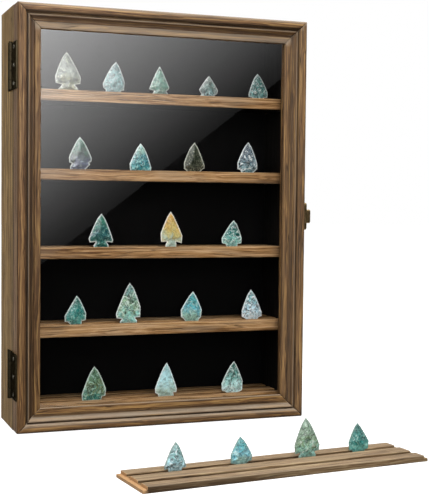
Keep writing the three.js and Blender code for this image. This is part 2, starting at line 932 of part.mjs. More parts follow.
function standArrowheads(group, row, tones, label, thickness, groove) {
  row.forEach((form, i) => {
    const stone = new THREE.MeshStandardMaterial({ color: tones[i], roughness: 0.3 });
    const point = named("arrowhead_" + label + "_" + (i + 1), arrowhead(form), stone);
    point.position.set(
      form.at * (shelfHalf - arrowEndMargin),
      groove,
      thickness - grooveDepth + tongueClearance,
    );
    group.add(point);
  });
}

const frontGroove = outerRib + grooveWidth / 2;
const rearGroove = shelfDepth - frontGroove;

const cabinet = new THREE.Group();

const box = new THREE.Group();
box.add(named("side_left", sideBoard(-1), wood));
box.add(named("side_right", sideBoard(1), wood));
box.add(named("bottom_panel", deck(0, deckThickness, deckThickness - backRabbet, deckThickness + 1), wood));
box.add(named("top_panel", deck(clearTop, caseHeight, clearTop - 1, clearTop + backRabbet), wood));
box.add(named("back_panel", backBoard(), panelWood));
box.add(named("back_lining", backLining(), felt));
for (const hand of [-1, 1]) {
  const plate = named(hand < 0 ? "wall_hanger_left" : "wall_hanger_right", hanger(), steel);
  plate.position.set(
    hand * (caseWidth / 2 - hangerFromSide),
    backY - backRecess + glueLine,
    caseHeight - hangerFromTop,
  );
  box.add(plate);
}
cabinet.add(box);

for (let level = 1; level <= shelfCount; level += 1) {
  const group = new THREE.Group();
  group.add(named("shelf_" + level, shelf(shelfThickness, shelfHalf), shelfWood));
  standArrowheads(
    group,
    rows[level - 1],
    stoneTones[level - 1],
    level,
    shelfThickness,
    frontGroove,
  );
  group.position.set(0, shelfFront, shelfBase(level));
  cabinet.add(group);
}

const looseGroup = new THREE.Group();
const looseHalf = looseShelfLength / 2 - tongueLength;
const loosePlank = named("loose_shelf", shelf(looseShelfThickness, looseHalf), shelfWood);
loosePlank.position.y = -shelfDepth / 2;
looseGroup.add(loosePlank);
standArrowheads(
  looseGroup,
  looseRow,
  looseTones,
  "loose",
  looseShelfThickness,
  rearGroove - shelfDepth / 2,
);
looseGroup.position.set(looseShelfX, frontY - doorGap - doorThickness - looseShelfAhead, 0);
looseGroup.rotation.z = looseShelfTurn;
cabinet.add(looseGroup);

// The door, drawn about the centre of its front face.
const doorHeight = caseHeight - 2 * doorReveal;
const door = new THREE.Group();
door.position.set(0, frontY - doorGap - doorThickness, caseHeight / 2);
const frame = frameBars(mouldingProfile(), caseWidth, doorHeight, glueLine);
const mortise = lockMortise().map((geometry) =>
  geometry.translate(caseWidth / 2, doorThickness / 2, lockHeight - caseHeight / 2),
);
door.add(named("door_stile_left", frame.left, wood));
door.add(named("door_stile_right", combine(frame.right, [], mortise), wood));
door.add(named("door_rail_top", frame.top, wood));
door.add(named("door_rail_bottom", frame.bottom, wood));
const retainers = frameBars(retainerProfile(), caseWidth, doorHeight, glueLine);
for (const [side, geometry] of Object.entries(retainers)) {
  door.add(named("glass_bead_" + side, geometry, wood));
}
const paneInset = mouldingWidth - glassRabbet + tongueClearance;
const paneHalfWidth = caseWidth / 2 - paneInset;
const paneHalfHeight = doorHeight / 2 - paneInset;
const paneFront = lipFace + lipThickness + glueLine;
door.add(
  named(
    "glass_pane",
    block(
      -paneHalfWidth,
      paneHalfWidth,
      paneFront,
      paneFront + glassThickness,
      -paneHalfHeight,
      paneHalfHeight,
    ),
    glass,
  ),
);
cabinet.add(door);

for (const [place, z] of [["bottom", hingeFromBottom], ["top", caseHeight - hingeFromTop]]) {
  const hinge = new THREE.Group();
  hinge.position.set(-caseWidth / 2 - knuckleRadius - glueLine, frontY - doorGap / 2, z);
  hinge.add(named("hinge_" + place + "_case_leaf", hingeLeaf(1), bronze));
  hinge.add(named("hinge_" + place + "_door_leaf", hingeLeaf(-1), bronze));
  hinge.add(named("hinge_" + place + "_pin", hingePin(), bronze));
  cabinet.add(hinge);
}

const lock = new THREE.Group();
lock.position.set(caseWidth / 2, lockY, lockHeight);
lock.add(named("lock_escutcheon", escutcheon(), brass));
lock.add(named("lock_barrel", barrel(), brass));
lock.add(named("lock_plug", plug(), brass));
lock.add(named("lock_cam", cam(), steel));
lock.add(named("lock_cam_screw", camScrew(), steel));
cabinet.add(lock);
const keeperMesh = named("lock_keeper", keeper(), steel);
keeperMesh.position.set(innerHalf, lockY, lockHeight);
cabinet.add(keeperMesh);

export default cabinet;
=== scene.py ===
"""The looks of the arrowhead display box: weathered wood, felt, glass, old metal and knapped stone."""
import json
import math
import random

import bmesh
import bpy
import numpy as np
from mathutils import Matrix, Vector, noise
from mathutils.geometry import delaunay_2d_cdt


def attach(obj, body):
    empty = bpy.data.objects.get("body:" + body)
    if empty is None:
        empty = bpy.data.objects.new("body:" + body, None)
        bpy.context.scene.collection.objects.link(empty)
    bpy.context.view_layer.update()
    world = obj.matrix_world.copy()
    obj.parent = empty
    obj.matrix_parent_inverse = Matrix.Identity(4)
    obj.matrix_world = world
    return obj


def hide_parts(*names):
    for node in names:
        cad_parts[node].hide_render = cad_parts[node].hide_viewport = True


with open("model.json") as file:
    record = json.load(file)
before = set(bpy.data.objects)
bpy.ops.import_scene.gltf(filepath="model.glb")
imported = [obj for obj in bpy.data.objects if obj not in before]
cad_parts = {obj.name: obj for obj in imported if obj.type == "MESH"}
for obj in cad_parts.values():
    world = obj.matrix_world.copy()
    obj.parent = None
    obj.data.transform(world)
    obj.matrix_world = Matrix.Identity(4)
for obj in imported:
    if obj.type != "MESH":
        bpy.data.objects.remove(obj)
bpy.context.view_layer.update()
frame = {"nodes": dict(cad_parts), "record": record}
nodes = frame["nodes"]
bodies = frame["record"]["behaviour"]["bodies"]
body_of = {node: body for body, members in bodies.items() for node in members}

# One millimetre in the scene's metres
MM = 0.001
# The centre of whatever isn't turned
ORIGIN = Vector((0, 0, 0))


# The camera, standing a little left of the box and just above its middle
CAMERA_PLACE = Vector((-0.4011, -1.2893, 0.2631))
CAMERA_YAW = math.radians(20.555)
CAMERA_PITCH = math.radians(-2.548)
CAMERA_ROLL = math.radians(0.562)
CAMERA_LENS = 79.86

forward = Vector((
    math.sin(CAMERA_YAW) * math.cos(CAMERA_PITCH),
    math.cos(CAMERA_YAW) * math.cos(CAMERA_PITCH),
    math.sin(CAMERA_PITCH),
))
level = Vector((math.cos(CAMERA_YAW), -math.sin(CAMERA_YAW), 0))
upright = level.cross(forward)
camera_right = math.cos(CAMERA_ROLL) * level + math.sin(CAMERA_ROLL) * upright
camera_up = math.cos(CAMERA_ROLL) * upright - math.sin(CAMERA_ROLL) * level


def standing(right, up, place):
    """The matrix of something whose own X runs along right and own Y along up."""
    turn = Matrix((right, up, right.cross(up))).transposed().to_4x4()
    return Matrix.Translation(place) @ turn


def in_scene(name, data):
    """A new object of the scene."""
    made = bpy.data.objects.new(name, data)
    bpy.context.scene.collection.objects.link(made)
    return made


camera = in_scene("camera", bpy.data.cameras.new("camera"))
camera.data.lens = CAMERA_LENS
camera.matrix_world = standing(camera_right, camera_up, CAMERA_PLACE)
bpy.context.scene.camera = camera
bpy.context.scene.view_settings.view_transform = "Standard"


# Colours and nodes
def linear(code):
    """An sRGB hex colour as the linear colour that a socket takes."""
    shares = [int(code[i:i + 2], 16) / 255 for i in (1, 3, 5)]
    return [s / 12.92 if s <= 0.04045 else ((s + 0.055) / 1.055) ** 2.4 for s in shares] + [1.0]


def grey(value):
    """A ramp's stop that stands for a plain number."""
    return [value, value, value, 1.0]


def add(tree, kind, settings=None, links=None):
    """Adds one shader node with its settings, its ramp's stops, and its sockets' values or links."""
    made = tree.nodes.new("ShaderNode" + kind)
    for name, value in (settings or {}).items():
        if name != "stops":
            setattr(made, name, value)
            continue
        ramp = made.color_ramp
        while len(ramp.elements) < len(value):
            ramp.elements.new(0.5)
        for element, (position, colour) in zip(ramp.elements, value):
            element.position = position
            element.color = linear(colour) if isinstance(colour, str) else grey(colour)
    for name, value in (links or {}).items():
        if isinstance(value, bpy.types.NodeSocket):
            tree.links.new(value, made.inputs[name])
        else:
            made.inputs[name].default_value = value
    return made


# The colour mix node's own sockets: share, under, over and result
SHARE, UNDER, OVER, MIXED = 0, 6, 7, 2


def empty_material(name):
    """A new material and its node tree, still empty."""
    material = bpy.data.materials.new(name)
    material.use_nodes = True
    material.node_tree.nodes.clear()
    return material, material.node_tree


def finish_material(tree, surface):
    """Puts a Principled shader with the surface's values and links on the material's output."""
    shader = add(tree, "BsdfPrincipled", None, surface)
    add(tree, "OutputMaterial", None, {"Surface": shader.outputs["BSDF"]})


# Weathered wood: its streaks' width and length in millimetres, their detail, and their share of the tone
STREAKS = (
    (4.4, 200, 2, 0.26),
    (1.7, 110, 3, 0.42),
    (0.8, 36, 3, 0.32),
)
# Where in the tone's range a wood's five colours lie
TONE_STEPS = (0.42, 0.465, 0.50, 0.535, 0.58)
# The painted black shade inside the case and under the shelves
INSIDE_SHADE_BLACK = "#0b0907"


def weathered_wood(name, tones, greyed, rubbed, bare="#b08a62", dust="#938573", crack_and_shade_dark="#20160e"):
    """Brushed and stained softwood: long streaks 1 to 4 mm wide that wander along the board, dark open
    cracks, greyed patches, pale rubbed arrises, painted shade in the hollows and painted highlight on the
    door's moulding.

    Every wooden piece carries its grain coordinates in millimetres, the third one along the fibres, and
    three marks: how much dark stain and painted shade, rubbing, and dust and painted highlight a place has."""
    material, tree = empty_material(name)

    def fibrous(place, wide, long, detail, roughness=0.5, start=(0.0, 0.0, 0.0)):
        """A noise drawn out along the fibres, its blotches so many millimetres wide and long."""
        drawn = add(tree, "Mapping", None,
                    {"Vector": place, "Scale": (1 / wide, 1 / wide, 1 / long), "Location": start})
        return add(tree, "TexNoise", None,
                   {"Vector": drawn.outputs["Vector"], "Scale": 1.0, "Detail": float(detail),
                    "Roughness": roughness}).outputs

    grain = add(tree, "Attribute", {"attribute_name": "grain"}).outputs["Vector"]
    marks = add(tree, "Attribute", {"attribute_name": "marks"}).outputs["Vector"]
    mark = add(tree, "SeparateXYZ", None, {"Vector": marks}).outputs
    inside = add(tree, "Attribute", {"attribute_name": "inside"}).outputs["Fac"]
    raw = add(tree, "Attribute", {"attribute_name": "raw"}).outputs["Fac"]
    # The fibres wander by up to 8 mm from side to side
    wander = fibrous(grain, 26, 110, 2)["Color"]
    bent = add(tree, "VectorMath", {"operation": "MULTIPLY_ADD"},
               {0: wander, 1: (8.0, 8.0, 0.0), 2: grain}).outputs[0]
    tone = 0.0
    for wide, long, detail, weight in STREAKS:
        fine = fibrous(bent, wide, long, detail, 0.6)["Fac"]
        tone = add(tree, "Math", {"operation": "MULTIPLY_ADD"},
                   {0: fine, 1: weight, 2: tone}).outputs[0]
    colour = add(tree, "ValToRGB", {"stops": list(zip(TONE_STEPS, tones))}, {"Fac": tone})
    # Greyed patches some 9 mm wide and 70 mm long
    patch = fibrous(bent, 9, 70, 2, start=(31.0, 7.0, 3.0))["Fac"]
    patchy = add(tree, "ValToRGB", {"stops": [(0.46, 0.0), (0.68, 0.55)]}, {"Fac": patch})
    # Cracks: thin lines where a stretched noise crosses its middle, kept to a few places
    crack_line = add(tree, "ValToRGB",
                     {"stops": [(0.470, 0.0), (0.490, 1.0), (0.500, 1.0), (0.520, 0.0)]},
                     {"Fac": fibrous(bent, 8, 170, 1, start=(3.0, 17.0, 9.0))["Fac"]})
    crack_where = add(tree, "ValToRGB", {"stops": [(0.50, 0.0), (0.60, 1.0)]}, {"Fac": fine})
    crack = add(tree, "Math", {"operation": "MULTIPLY"},
                {0: crack_line.outputs["Color"], 1: crack_where.outputs["Color"]})
    # Pale rubbed arrises, broken up by the fibre
    rub_break = add(tree, "Math", {"operation": "MULTIPLY"}, {0: mark[1], 1: fine})
    rub_through = add(tree, "ValToRGB", {"stops": [(0.34, 0.0), (0.66, 0.9)]},
                      {"Fac": rub_break.outputs[0]})
    # Grey dust and old wax on the faces that look up, and a painted highlight on the door's moulding,
    # thinner where the fibres stand proud
    dust_and_highlight_break = add(tree, "MapRange", None,
                     {"Value": fine, "From Min": 0.3, "From Max": 0.7, "To Min": 1.25, "To Max": 0.55})
    dust_and_highlight_share = add(tree, "Math", {"operation": "MULTIPLY", "use_clamp": True},
                     {0: mark[2], 1: dust_and_highlight_break.outputs["Result"]})
    # Coats over the wood's own colour, from the lowest, painted shade and painted highlight among them. The
    # last are bare end grain, where a board was cut, and the painted black shade inside the case and under
    # the shelves.
    coats = (
        (patchy.outputs["Color"], greyed),
        (crack.outputs[0], crack_and_shade_dark),
        # Dark stain, and painted shade in the door's hollows, the shelves' grooves and down the loose
        # shelf's front
        (mark[0], crack_and_shade_dark),
        (rub_through.outputs["Color"], rubbed),
        # Grey dust, and painted highlight on the door's moulding
        (dust_and_highlight_share.outputs[0], dust),
        (raw, bare),
        # Painted black shade inside the case and under the shelves
        (inside, INSIDE_SHADE_BLACK),
    )
    surface = colour.outputs["Color"]
    for share, coat in coats:
        surface = add(tree, "Mix", {"data_type": "RGBA"},
                      {SHARE: share, UNDER: surface, OVER: linear(coat)}).outputs[MIXED]
    relief = add(tree, "Math", {"operation": "SUBTRACT"}, {0: tone, 1: crack.outputs[0]})
    bump = add(tree, "Bump", None, {"Height": relief.outputs[0], "Distance": 0.6 * MM, "Strength": 0.7})
    rough = add(tree, "MapRange", None,
                {"Value": tone, "From Min": 0.4, "From Max": 0.6, "To Min": 0.72, "To Max": 0.55})
    finish_material(tree, {"Base Color": surface, "Roughness": rough.outputs["Result"],
                           "Normal": bump.outputs["Normal"], "IOR": 1.45, "Specular IOR Level": 0.12})
    return material


# The door's red-brown stain was brushed out, so that the wood shows pale between its dark late rings
door_wood = weathered_wood(
    "brushed_stained_softwood",
    ["#352414", "#523922", "#6b4c2e", "#7e5e39", "#9e7c4c"],
    greyed="#664c32", rubbed="#8f7145")
# The case took a more olive stain, and shows less of the wood's own colour
case_wood = weathered_wood(
    "olive_stained_softwood",
    ["#3b2a10", "#5e451e", "#7a5b2b", "#90703a", "#ab8c52"],
    greyed="#755d31", rubbed="#9c7e4a")
# The fixed shelves are tan and hardly stained, with the palest arrises
shelf_wood = weathered_wood(
    "tan_brushed_softwood",
    ["#5d3e22", "#825f38", "#9b744b", "#aa8559", "#c29e77"],
    greyed="#9c8468", rubbed="#d9be94")
# The loose shelf has greyed in the open
loose_wood = weathered_wood(
    "greyed_brushed_softwood",
    ["#46331f", "#6b5133", "#87694a", "#9b8260", "#b39c77"],
    greyed="#887356", rubbed="#bda680")
# The back is thin bare plywood, pale and even
back_wood = weathered_wood(
    "thin_plywood_back",
    ["#8a6d4b", "#9c7d58", "#a98a64", "#b39670", "#c0a480"],
    greyed="#a08e76", rubbed="#c8b08c")


def black_felt():
    """Pressed felt: a matt black ground with a nap of short fibres, drawn 2 mm apart so that it shows."""
    material, tree = empty_material("pressed_black_felt")
    place = add(tree, "TexCoord").outputs["Object"]
    nap = add(tree, "TexNoise", None,
              {"Vector": place, "Scale": 0.5 / MM, "Detail": 4.0, "Roughness": 0.7})
    colour = add(tree, "ValToRGB", {"stops": [(0.35, "#050505"), (0.65, "#0a0909")]},
                 {"Fac": nap.outputs["Fac"]})
    finish_material(tree, {"Base Color": colour.outputs["Color"], "Roughness": 1.0,
                           "Specular IOR Level": 0.1})
    return material


def clear_glass():
    """Float glass: clear, with a plain mirror of its surroundings that grows at a glancing look."""
    material, tree = empty_material("clear_float_glass")
    mirror = add(tree, "BsdfAnisotropic", None, {"Roughness": 0.02})
    clear = add(tree, "BsdfTransparent", None, {"Color": linear("#fefefe")})
    look = add(tree, "Fresnel", None, {"IOR": 1.5}).outputs["Fac"]
    # The pane's far side adds no mirror of its own, so lamplight passes straight through
    leaving = add(tree, "NewGeometry").outputs["Backfacing"]
    share = add(tree, "Math", {"operation": "SUBTRACT", "use_clamp": True}, {0: look, 1: leaving})
    both = add(tree, "MixShader", None,
               {0: share.outputs[0], 1: clear.outputs["BSDF"], 2: mirror.outputs["BSDF"]})
    add(tree, "OutputMaterial", None, {"Surface": both.outputs["Shader"]})
    return material


def old_metal(name, dark, light, worn, roughness, glancing="#ffffff"):
    """Old plated metal: cloudy tarnish in patches of about 3 mm, fine pitting, arrises rubbed bright."""
    material, tree = empty_material(name)
    place = add(tree, "TexCoord").outputs["Object"]
    rub = add(tree, "Attribute", {"attribute_name": "arris"}).outputs["Fac"]
    cloud = add(tree, "TexNoise", None,
                {"Vector": place, "Scale": 0.33 / MM, "Detail": 4.0, "Roughness": 0.65})
    tarnish = add(tree, "ValToRGB", {"stops": [(0.38, dark), (0.64, light)]},
                  {"Fac": cloud.outputs["Fac"]})
    broken = add(tree, "Math", {"operation": "MULTIPLY"}, {0: rub, 1: cloud.outputs["Fac"]})
    edged = add(tree, "Mix", {"data_type": "RGBA"},
                {SHARE: broken.outputs[0], UNDER: tarnish.outputs["Color"], OVER: linear(worn)})
    pitting = add(tree, "TexNoise", None,
                  {"Vector": place, "Scale": 1.6 / MM, "Detail": 3.0, "Roughness": 0.7})
    rough = add(tree, "MapRange", None,
                {"Value": cloud.outputs["Fac"], "From Min": 0.35, "From Max": 0.65,
                 "To Min": roughness - 0.1, "To Max": roughness + 0.12})
    bump = add(tree, "Bump", None,
               {"Height": pitting.outputs["Fac"], "Distance": 0.08 * MM, "Strength": 0.5})
    finish_material(tree, {"Base Color": edged.outputs[MIXED], "Roughness": rough.outputs["Result"],
                           "Normal": bump.outputs["Normal"], "Metallic": 1.0,
                           "Specular Tint": linear(glancing)})
    return material


# Hinges: nearly black and dull, with a little brown on the arrises
bronze = old_metal("oil_rubbed_dark_bronze", "#0f0c07", "#1d1911", "#3d3628", 0.6, "#4a4336")
# Lock: brown tarnish, with bright yellow metal on the arrises
brass = old_metal("aged_brass", "#5f4a2a", "#957448", "#e0cb9a", 0.38)
# Screws of the door leaves: dark plating rubbed down to grey steel
screw_steel = old_metal("rubbed_steel_screw", "#26241f", "#45423b", "#7d796e", 0.52, "#7d796e")
# Hangers: pale cloudy grey with a soft shine
zinc = old_metal("zinc_plated_steel", "#8d8f8e", "#b9bbb9", "#e0e2e0", 0.36)
felt = black_felt()
glass = clear_glass()


# Boards. An edge is an arris from SHARP up, and one below FLAT vanishes in its face.
SHARP = math.radians(24)
FLAT = math.radians(0.5)
WELD = 1e-3 * MM
WOOD_WEAR = 0.35 * MM
# How far apart a board is cut across, and how far its grain is shifted from the next board's
GRAIN_STEP = 6 * MM
GRAIN_SHIFT = 137.0
# The rubbed band beside an arris that runs along the grain, on pieces with few such arrises
RUB_WIDE = 1.3 * MM
ALONG_GRAIN = 0.99
FEW_ARRISES = 14
# Shallow dents: their length and width in millimetres, how far the next board's are shifted, and their
# depth on faces, and how much deeper they are on arrises
DENT_LONG = 17
DENT_WIDE = 5
DENT_SHIFT = 7.3
DENT_DEEP = 0.10
ARRIS_DEEP = 0.30
# How dark the stain on a dark arris is, and how far the border of an arris's rounding is rubbed
ARRIS_STAIN = 0.8
BORDER_RUBBED = 0.45


def joined(node):
    """A node's mesh with its doubled vertices joined."""
    mesh = bmesh.new()
    mesh.from_mesh(nodes[node].data)
    bmesh.ops.remove_doubles(mesh, verts=mesh.verts, dist=WELD)
    return mesh


def welded(node):
    """A node's joined mesh with its flat faces whole."""
    mesh = joined(node)
    bmesh.ops.dissolve_limit(mesh, angle_limit=FLAT, verts=mesh.verts, edges=mesh.edges)
    return mesh


def eased(mesh, width, least):
    """Rounds the outer arrises over, and marks the crown of the rounding in the arris layer."""
    arris = mesh.verts.layers.float.new("arris")
    outer = [e for e in mesh.edges if len(e.link_faces) == 2 and e.is_convex]
    sharp = [e for e in outer if e.calc_face_angle() > least]
    made = bmesh.ops.bevel(mesh, geom=sharp, offset=width, segments=2, profile=0.5, affect="EDGES",
                           clamp_overlap=True)
    rounding = set(made["faces"])
    for vertex in made["verts"]:
        vertex[arris] = 1.0 if rounding.issuperset(vertex.link_faces) else BORDER_RUBBED
    return arris


def cut(mesh, axis, places):
    """Cuts the mesh across an axis at each place, so that it can be worn there."""
    for at in places:
        bmesh.ops.bisect_plane(mesh, geom=mesh.verts[:] + mesh.edges[:] + mesh.faces[:], dist=1e-7,
                               plane_co=axis * at, plane_no=axis)


def beside_arrises(mesh, axis, along):
    """The places across an axis, one rub's width to each side of the arrises that run along the grain."""
    found = set()
    for edge in mesh.edges:
        if len(edge.link_faces) == 2 and edge.calc_face_angle() > SHARP:
            way = (edge.verts[0].co - edge.verts[1].co).normalized()
            if abs(way.dot(along)) > ALONG_GRAIN:
                found.add(round(edge.verts[0].co.dot(axis) / MM, 1) * MM)
    if len(found) >= FEW_ARRISES:
        return []
    return sorted({at + side for at in found for side in (-RUB_WIDE, RUB_WIDE)})


def place_piece(name, mesh, body, material, replaced=(), smooth=SHARP):
    """Makes the finished mesh a piece of the scene that rides on its body."""
    data = bpy.data.meshes.new(name)
    mesh.to_mesh(data)
    mesh.free()
    data.materials.append(material)
    data.polygons.foreach_set("use_smooth", [True] * len(data.polygons))
    data.set_sharp_from_angle(angle=smooth)
    piece = in_scene(name, data)
    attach(piece, body)
    if replaced:
        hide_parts(*replaced)
    return piece


def board_piece(node, material, along, number, shade_and_stain_at=None, dust_and_highlight_at=None, inside_shade_at=None,
                raw_at=None, dark_arris_at=None, dark_cuts=(), turn=0.0, centre=ORIGIN):
    """A wooden piece: arrises eased, cut across every few millimetres, and worn a little unevenly."""
    way = Matrix.Rotation(-turn, 3, "Z")

    def own(point):
        """A place as the board lay before it was turned about its centre."""
        return way @ (point - centre)

    mesh = welded(node)
    lengthwise = way.transposed() @ Vector((1, 0, 0)) if along == "X" else Vector((0, 0, 1))
    crosswise = [way.transposed() @ Vector((0, 1, 0)),
                 Vector((0, 0, 1)) if along == "X" else Vector((1, 0, 0))]
    rubbed_at = [(axis, beside_arrises(mesh, axis, lengthwise)) for axis in crosswise]
    arris = eased(mesh, WOOD_WEAR, SHARP)
    for axis, places in rubbed_at:
        before = set(mesh.verts)
        cut(mesh, axis, places)
        for vertex in set(mesh.verts) - before:
            vertex[arris] = 0.0
    cut(mesh, Vector((0, 1, 0)), [at * MM for at in dark_cuts])
    reach = [v.co.dot(lengthwise) for v in mesh.verts]
    low, high = min(reach), max(reach)
    steps = int((high - low) / GRAIN_STEP)
    cut(mesh, lengthwise, [low + (high - low) * step / steps for step in range(1, steps)])
    rest = {v: own(v.co) for v in mesh.verts}
    mesh.normal_update()
    moves = {}
    for vertex in mesh.verts:
        point = rest[vertex] / MM
        run = point.x if along == "X" else point.z
        side = point.z if along == "X" else point.x
        spot = Vector((run / DENT_LONG, side / DENT_WIDE, point.y / DENT_WIDE + number * DENT_SHIFT))
        dent = 0.5 + 0.5 * noise.noise(spot)
        deep = DENT_DEEP + ARRIS_DEEP * vertex[arris]
        moves[vertex] = -vertex.normal * dent * deep * MM
    for vertex, move in moves.items():
        vertex.co += move
    bmesh.ops.triangulate(mesh, faces=[f for f in mesh.faces if len(f.verts) > 4])
    count = len(mesh.verts)
    mesh.verts.index_update()
    grain = np.zeros((count, 3), np.float32)
    marks = np.zeros((count, 3), np.float32)
    inside = np.zeros(count, np.float32)
    raw = np.zeros(count, np.float32)
    for vertex in mesh.verts:
        point = rest.get(vertex, own(vertex.co)) / MM
        shift = number * GRAIN_SHIFT
        if along == "X":
            grain[vertex.index] = (point.y + shift, point.z, point.x + shift)
        else:
            grain[vertex.index] = (point.x + shift, point.y, point.z + shift)
        if shade_and_stain_at:
            marks[vertex.index][0] = shade_and_stain_at(point, vertex.normal)
        if dust_and_highlight_at:
            marks[vertex.index][2] = dust_and_highlight_at(point, vertex.normal)
        if dark_arris_at and dark_arris_at(point):
            marks[vertex.index][0] = max(marks[vertex.index][0], ARRIS_STAIN * vertex[arris])
        else:
            marks[vertex.index][1] = vertex[arris]
        if inside_shade_at:
            inside[vertex.index] = inside_shade_at(point, vertex.normal)
        if raw_at:
            raw[vertex.index] = raw_at(point, vertex.normal)
    piece = place_piece(node + "_wood", mesh, body_of[node], material, (node,))
    data = piece.data
    for name, kind, values in (("grain", "FLOAT_VECTOR", grain), ("marks", "FLOAT_VECTOR", marks),
                               ("inside", "FLOAT", inside), ("raw", "FLOAT", raw)):
        layer = data.attributes.new(name, kind, "POINT")
        layer.data.foreach_set("vector" if kind == "FLOAT_VECTOR" else "value", values.ravel())
    return piece


def bell(away, wide):
    """1 at the middle, and next to nothing beyond twice the width."""
    return math.exp(-(away / wide) ** 2)


def clamped(value):
    """A number held between 0 and 1."""
    return min(1.0, max(0.0, value))


# The door moulding: where its quirk, fillet, cove and lip lie, in millimetres in from the outer edge
DOOR_HALF_WIDE = 175.0
DOOR_LOW = 0.5
DOOR_HIGH = 479.5
DOOR_FRONT = -46.0
BEAD_END = 10.0
QUIRK = 11.0
FILLET = 12.8
COVE = 16.8
LIP_START = 19.4
BAR_WIDE = 27.0
DOOR_RIM = 1.5
# How far off a mitre a place still counts as on its stile
MITRE_SLACK = 0.01
# The shares of a face's normal, down for painted shade and up for painted highlight, where they begin and
# over which they grow
DOWN_FROM = 0.15
DOWN_GROWS = 0.5
UP_FROM = 0.1
UP_GROWS = 0.4
# The shares of painted shade and how wide it lies in the hollows, and how much darker the hinge stile is
# made
QUIRK_SHADE = 0.68
QUIRK_WIDE = 1.3
COVE_SHADE = 0.55
COVE_WIDE = 2.2
UNDER_BEAD_SHADE = 0.8
HINGE_STILE_DARK = 0.3
HINGE_BEAD_DARK = 0.17
MOST_SHADE = 0.85
# The shares of painted highlight, laid on in the pale dust colour
UPWARD_HIGHLIGHT = 0.65
FILLET_HIGHLIGHT = 0.5
FILLET_WIDE = 0.7
TOP_LIP_HIGHLIGHT = 0.5
LOCK_STILE_HIGHLIGHT = 0.1
MOST_HIGHLIGHT = 0.75


def door_inward(point):
    """How far in from the door's outer edge a place lies."""
    return min(DOOR_HALF_WIDE - abs(point.x), point.z - DOOR_LOW, DOOR_HIGH - point.z)


def moulding_shade(point, normal):
    """Painted shade on the door's face: in the quirk, the cove and under the beads; the hinge stile is made
    darker too.
    """
    if point.y > DOOR_FRONT:
        return 0.0
    inward = door_inward(point)
    quirk = QUIRK_SHADE * bell(inward - QUIRK, QUIRK_WIDE)
    cove = COVE_SHADE * bell(inward - COVE, COVE_WIDE)
    under = UNDER_BEAD_SHADE * clamped((-normal.z - DOWN_FROM) / DOWN_GROWS) if inward < BEAD_END else 0.0
    hinge_stile = 0.0
    if DOOR_HALF_WIDE + point.x <= inward + MITRE_SLACK:
        hinge_stile = HINGE_STILE_DARK if inward > QUIRK else HINGE_BEAD_DARK
    return min(MOST_SHADE, quirk + cove + under + hinge_stile)


def moulding_highlight(point, normal):
    """Painted highlight on the door's face, in the pale dust colour: on what looks up, the fillet, the top
    lip, and the lock stile.
    """
    if point.y > DOOR_FRONT:
        return 0.0
    inward = door_inward(point)
    upward = UPWARD_HIGHLIGHT * clamped((normal.z - UP_FROM) / UP_GROWS)
    fillet = FILLET_HIGHLIGHT * bell(inward - FILLET, FILLET_WIDE)
    on_lip = LIP_START < inward < BAR_WIDE and DOOR_HIGH - point.z < BAR_WIDE
    top_lip = TOP_LIP_HIGHLIGHT if on_lip else 0.0
    lock_stile = LOCK_STILE_HIGHLIGHT if DOOR_HALF_WIDE - point.x <= inward + MITRE_SLACK else 0.0
    return min(MOST_HIGHLIGHT, upward + fillet + top_lip + lock_stile)


def door_rim(point):
    """The door's outer arrises, which kept their dark stain."""
    return door_inward(point) < DOOR_RIM


# The case, in millimetres
CASE_TOP = 480.0
CASE_MIDDLE = 240.0
CASE_FRONT = -39.5
JOINT_DARK = 0.45
JOINT_WIDE = 7.0
CASE_DUST = 0.5
# From these shares of its normal on, a face counts as looking up, or as facing down or to a side
LOOKS_UP = 0.3
FACING = 0.5
# The inside's painted black shade starts half a millimetre behind the front edge, and is full so much
# further in
INSIDE_SHADE_FROM = -39.0
INSIDE_SHADE_FULL = 1.5
# A face looks at the middle where its normal and the way there agree this much, height counting for less
TOWARDS_MIDDLE = 15.0
HEIGHT_COUNTS = 0.7
CASE_DARK_CUTS = (-37.5, -34, -30, -24)


def whole_board(point):
    """Dark arrises all over the board."""
    return True


def case_joint(point, normal):
    """A darker band along the case's front edge, beside the door."""
    return JOINT_DARK * bell(point.y - CASE_FRONT, JOINT_WIDE)


def case_dust(point, normal):
    """Years of dust have greyed the case's top, which looks up."""
    return CASE_DUST if normal.z > LOOKS_UP and point.z > CASE_TOP - 2 else 0.0


def case_inside_shade(point, normal):
    """Painted black shade on the case's inner faces, starting just behind the front edge."""
    agreeing = normal.x * -point.x + normal.z * (CASE_MIDDLE - point.z) * HEIGHT_COUNTS
    if agreeing <= TOWARDS_MIDDLE:
        return 0.0
    return clamped((point.y - INSIDE_SHADE_FROM) / INSIDE_SHADE_FULL)


DOOR_BARS = (("door_rail_top", "X"), ("door_rail_bottom", "X"), ("door_stile_left", "Z"),
             ("door_stile_right", "Z"))
CASE_BOARDS = (("side_left", "Z"), ("side_right", "Z"), ("top_panel", "X"), ("bottom_panel", "X"))
BEADS = (("glass_bead_bottom", "X"), ("glass_bead_top", "X"), ("glass_bead_left", "Z"),
         ("glass_bead_right", "Z"))

number = 0
for node, along in DOOR_BARS:
    number += 1
    board_piece(node, door_wood, along, number, shade_and_stain_at=moulding_shade,
                dust_and_highlight_at=moulding_highlight, dark_arris_at=door_rim)
for node, along in CASE_BOARDS:
    number += 1
    board_piece(node, case_wood, along, number, shade_and_stain_at=case_joint, dust_and_highlight_at=case_dust,
                inside_shade_at=case_inside_shade, dark_arris_at=whole_board, dark_cuts=CASE_DARK_CUTS)
for node, along in BEADS:
    number += 1
    board_piece(node, door_wood, along, number)


